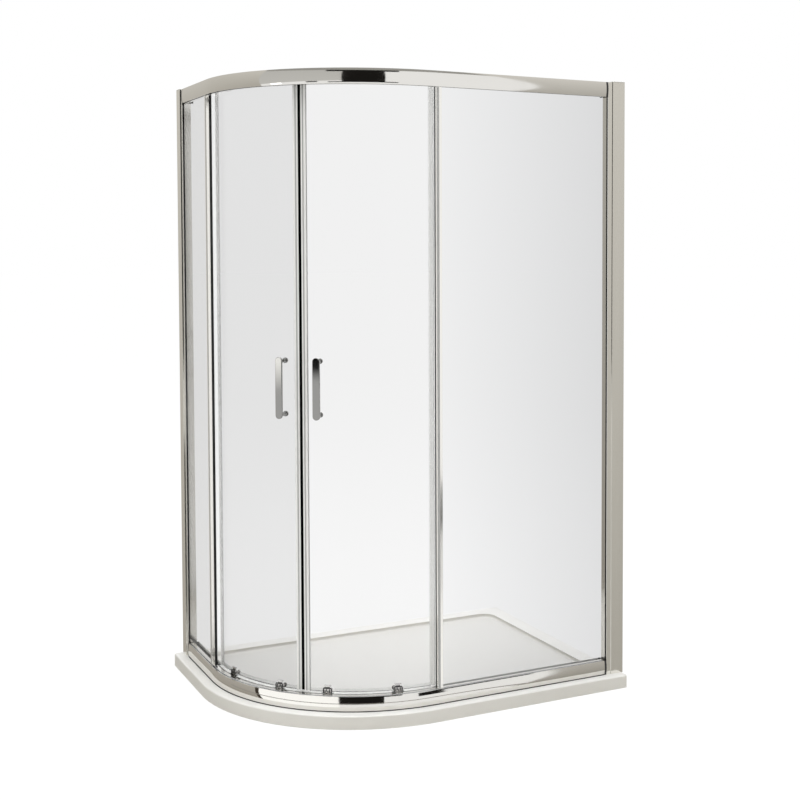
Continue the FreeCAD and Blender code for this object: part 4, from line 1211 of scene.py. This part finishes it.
CARDS = (
    Card("left_wall", (100.0, 176.0), 5.0, (-3.5, 5.5), (0.30, 0.275, 0.235), (0.74, 0.72, 0.67)),
    Card("high_flag", (233.0, 260.4), 4.5, (0.78, 4.0)),
    Card("low_flag", (230.8, 256.8), 2.0, (-0.42, 0.45)),
    Card("low_corner", (174.0, 177.0), 2.4, (-1.2, 0.30), (0.05, 0.04, 0.03), (0.05, 0.04, 0.03)),
    Card("soft_grey", (176.0, 236.0), 5.0, (0.95, 4.2), (0.62, 0.615, 0.595), (0.58, 0.575, 0.555)),
    Card("low_white", (178.5, 230.3), 2.02, (-2.0, 0.60), (1.27, 1.27, 1.25), (1.22, 1.22, 1.20)),
    Card("low_line", (178.0, 300.0), 0.7, (0.009, 0.019), (0.30, 0.285, 0.26), (0.36, 0.345, 0.32)),
    Card("high_band", (176.0, 344.0), 5.2, (4.3, 5.6), (0.36, 0.355, 0.335), (0.40, 0.395, 0.37)),
    Card("upper_ear", (222.0, 270.0), 4.45, (3.55, 4.0)),
    Card("lower_ear", (224.0, 269.0), 4.45, (0.58, 0.80)),
    Card("handle_fade", (209.5, 217.0), 5.0, (0.55, 0.625), WHITE),
    Card("handle_dark", (209.5, 217.0), 5.0, (0.625, 0.90)),
    Card("shine_fade", (184.0, 192.0), 5.0, (0.48, 0.66), WHITE, (2.5, 2.5, 2.45)),
    Card("shine", (184.0, 192.0), 5.0, (0.66, 0.90), (2.5, 2.5, 2.45), (2.5, 2.5, 2.45)),
    Card("wedge", (277.0, 288.5), 2.0, (-0.02, 0.30)),
    Card("streak", (288.5, 299.0), 2.0, (0.24, 0.42), BLACK, (0.10, 0.10, 0.10)),
    Card("right_wall", (299.5, 345.0), 5.0, (-3.5, 5.5), (0.30, 0.285, 0.25), (0.80, 0.78, 0.74)),
)


@dataclass
class Studio:
    """White studio: world, floor, soft lamp, cards and camera."""

    plan: Plan
    level: float = 0.62
    level_colour: Colour = (1.0, 0.995, 0.985)
    floor_reach: float = 60.0
    floor_colour: Colour = (0.86, 0.86, 0.85)
    floor_faint: Colour = (0.08, 0.08, 0.08)
    floor_glow: float = 0.952
    lamp_power: float = 230.0
    lamp_side: float = 4.0
    lamp_place: tuple[float, float, float] = (-0.3, -0.5, 5.0)
    camera_place: tuple[float, float, float] = (-1.6740, -3.9490, 1.3890)
    camera_yaw: float = 28.28
    camera_pitch: float = 2.77
    camera_focus: float = 1342.0
    camera_middle: Span = (518.0, 310.0)
    frame_width: float = 800.0

    def world(self) -> None:
        """White for what is seen, and a plain soft level for what lights matt surfaces."""
        world = bpy.data.worlds.new("studio")
        bench = ShaderBench(world)
        seen = bench.node("Background", {"Color": WHITE})
        lit = bench.node("Background", {"Color": self.level_colour, "Strength": self.level})
        bench.node("OutputWorld", {"Surface": bench.by_ray(lit, seen)})
        bpy.context.scene.world = world

    def floor(self) -> None:
        """Pale floor that keeps a soft shadow."""
        mesh = bpy.data.meshes.new("floor")
        reach = (-self.floor_reach, self.floor_reach)
        mesh.from_pydata([(x, y, 0.0) for x, y in rectangle(reach, reach)], [], [(0, 1, 2, 3)])
        made = bpy.data.materials.new("studio_floor")
        bench = ShaderBench(made)
        matt = bench.node("BsdfDiffuse", {"Color": self.floor_colour})
        faint = bench.node("BsdfDiffuse", {"Color": self.floor_faint})
        glow = bench.node("Emission", {"Strength": self.floor_glow})
        lifted = bench.node("AddShader", {0: faint, 1: glow})
        bench.node("OutputMaterial", {"Surface": bench.by_ray(matt, lifted)})
        mesh.materials.append(made)
        floor = stand("floor", mesh)
        floor.visible_glossy = False

    def lamp(self) -> None:
        """Wide soft lamp overhead."""
        data = bpy.data.lights.new("overhead", "AREA")
        data.shape = "RECTANGLE"
        data.size = data.size_y = self.lamp_side
        data.energy = self.lamp_power
        stand("overhead", data).location = self.lamp_place

    def camera(self) -> None:
        """Camera at the photograph's place."""
        data = bpy.data.cameras.new("camera")
        width = self.frame_width
        data.lens = self.camera_focus / width * data.sensor_width
        data.shift_x = (width / 2 - self.camera_middle[0]) / width
        data.shift_y = (self.camera_middle[1] - width / 2) / width
        camera = stand("camera", data)
        camera.location = self.camera_place
        pitch, yaw = math.radians(90.0 - self.camera_pitch), math.radians(-self.camera_yaw)
        camera.rotation_euler = (pitch, 0.0, yaw)
        bpy.context.scene.camera = camera

    def build(self) -> None:
        """Set the studio."""
        bpy.context.scene.view_settings.view_transform = "Standard"
        self.world()
        self.floor()
        self.lamp()
        self.camera()
        for card in CARDS:
            card.build(self.plan)


def main() -> None:
    """Load the frame, dress every sub-assembly and set the studio."""
    logging.basicConfig(level=logging.INFO, format="%(name)s: %(message)s")
    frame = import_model()
    plan = Plan()
    dresser = Dresser(frame["nodes"], Shaper())
    assemblies = [kind(plan, dresser) for kind in (Tray, Rails, Posts, FixedPanes)]
    assemblies += [SlidingDoor(plan, dresser, side) for side in Side]
    for assembly in assemblies:
        assembly.build()
    Studio(plan).build()
    bpy.context.view_layer.update()


if __name__ == "__main__":
    main()
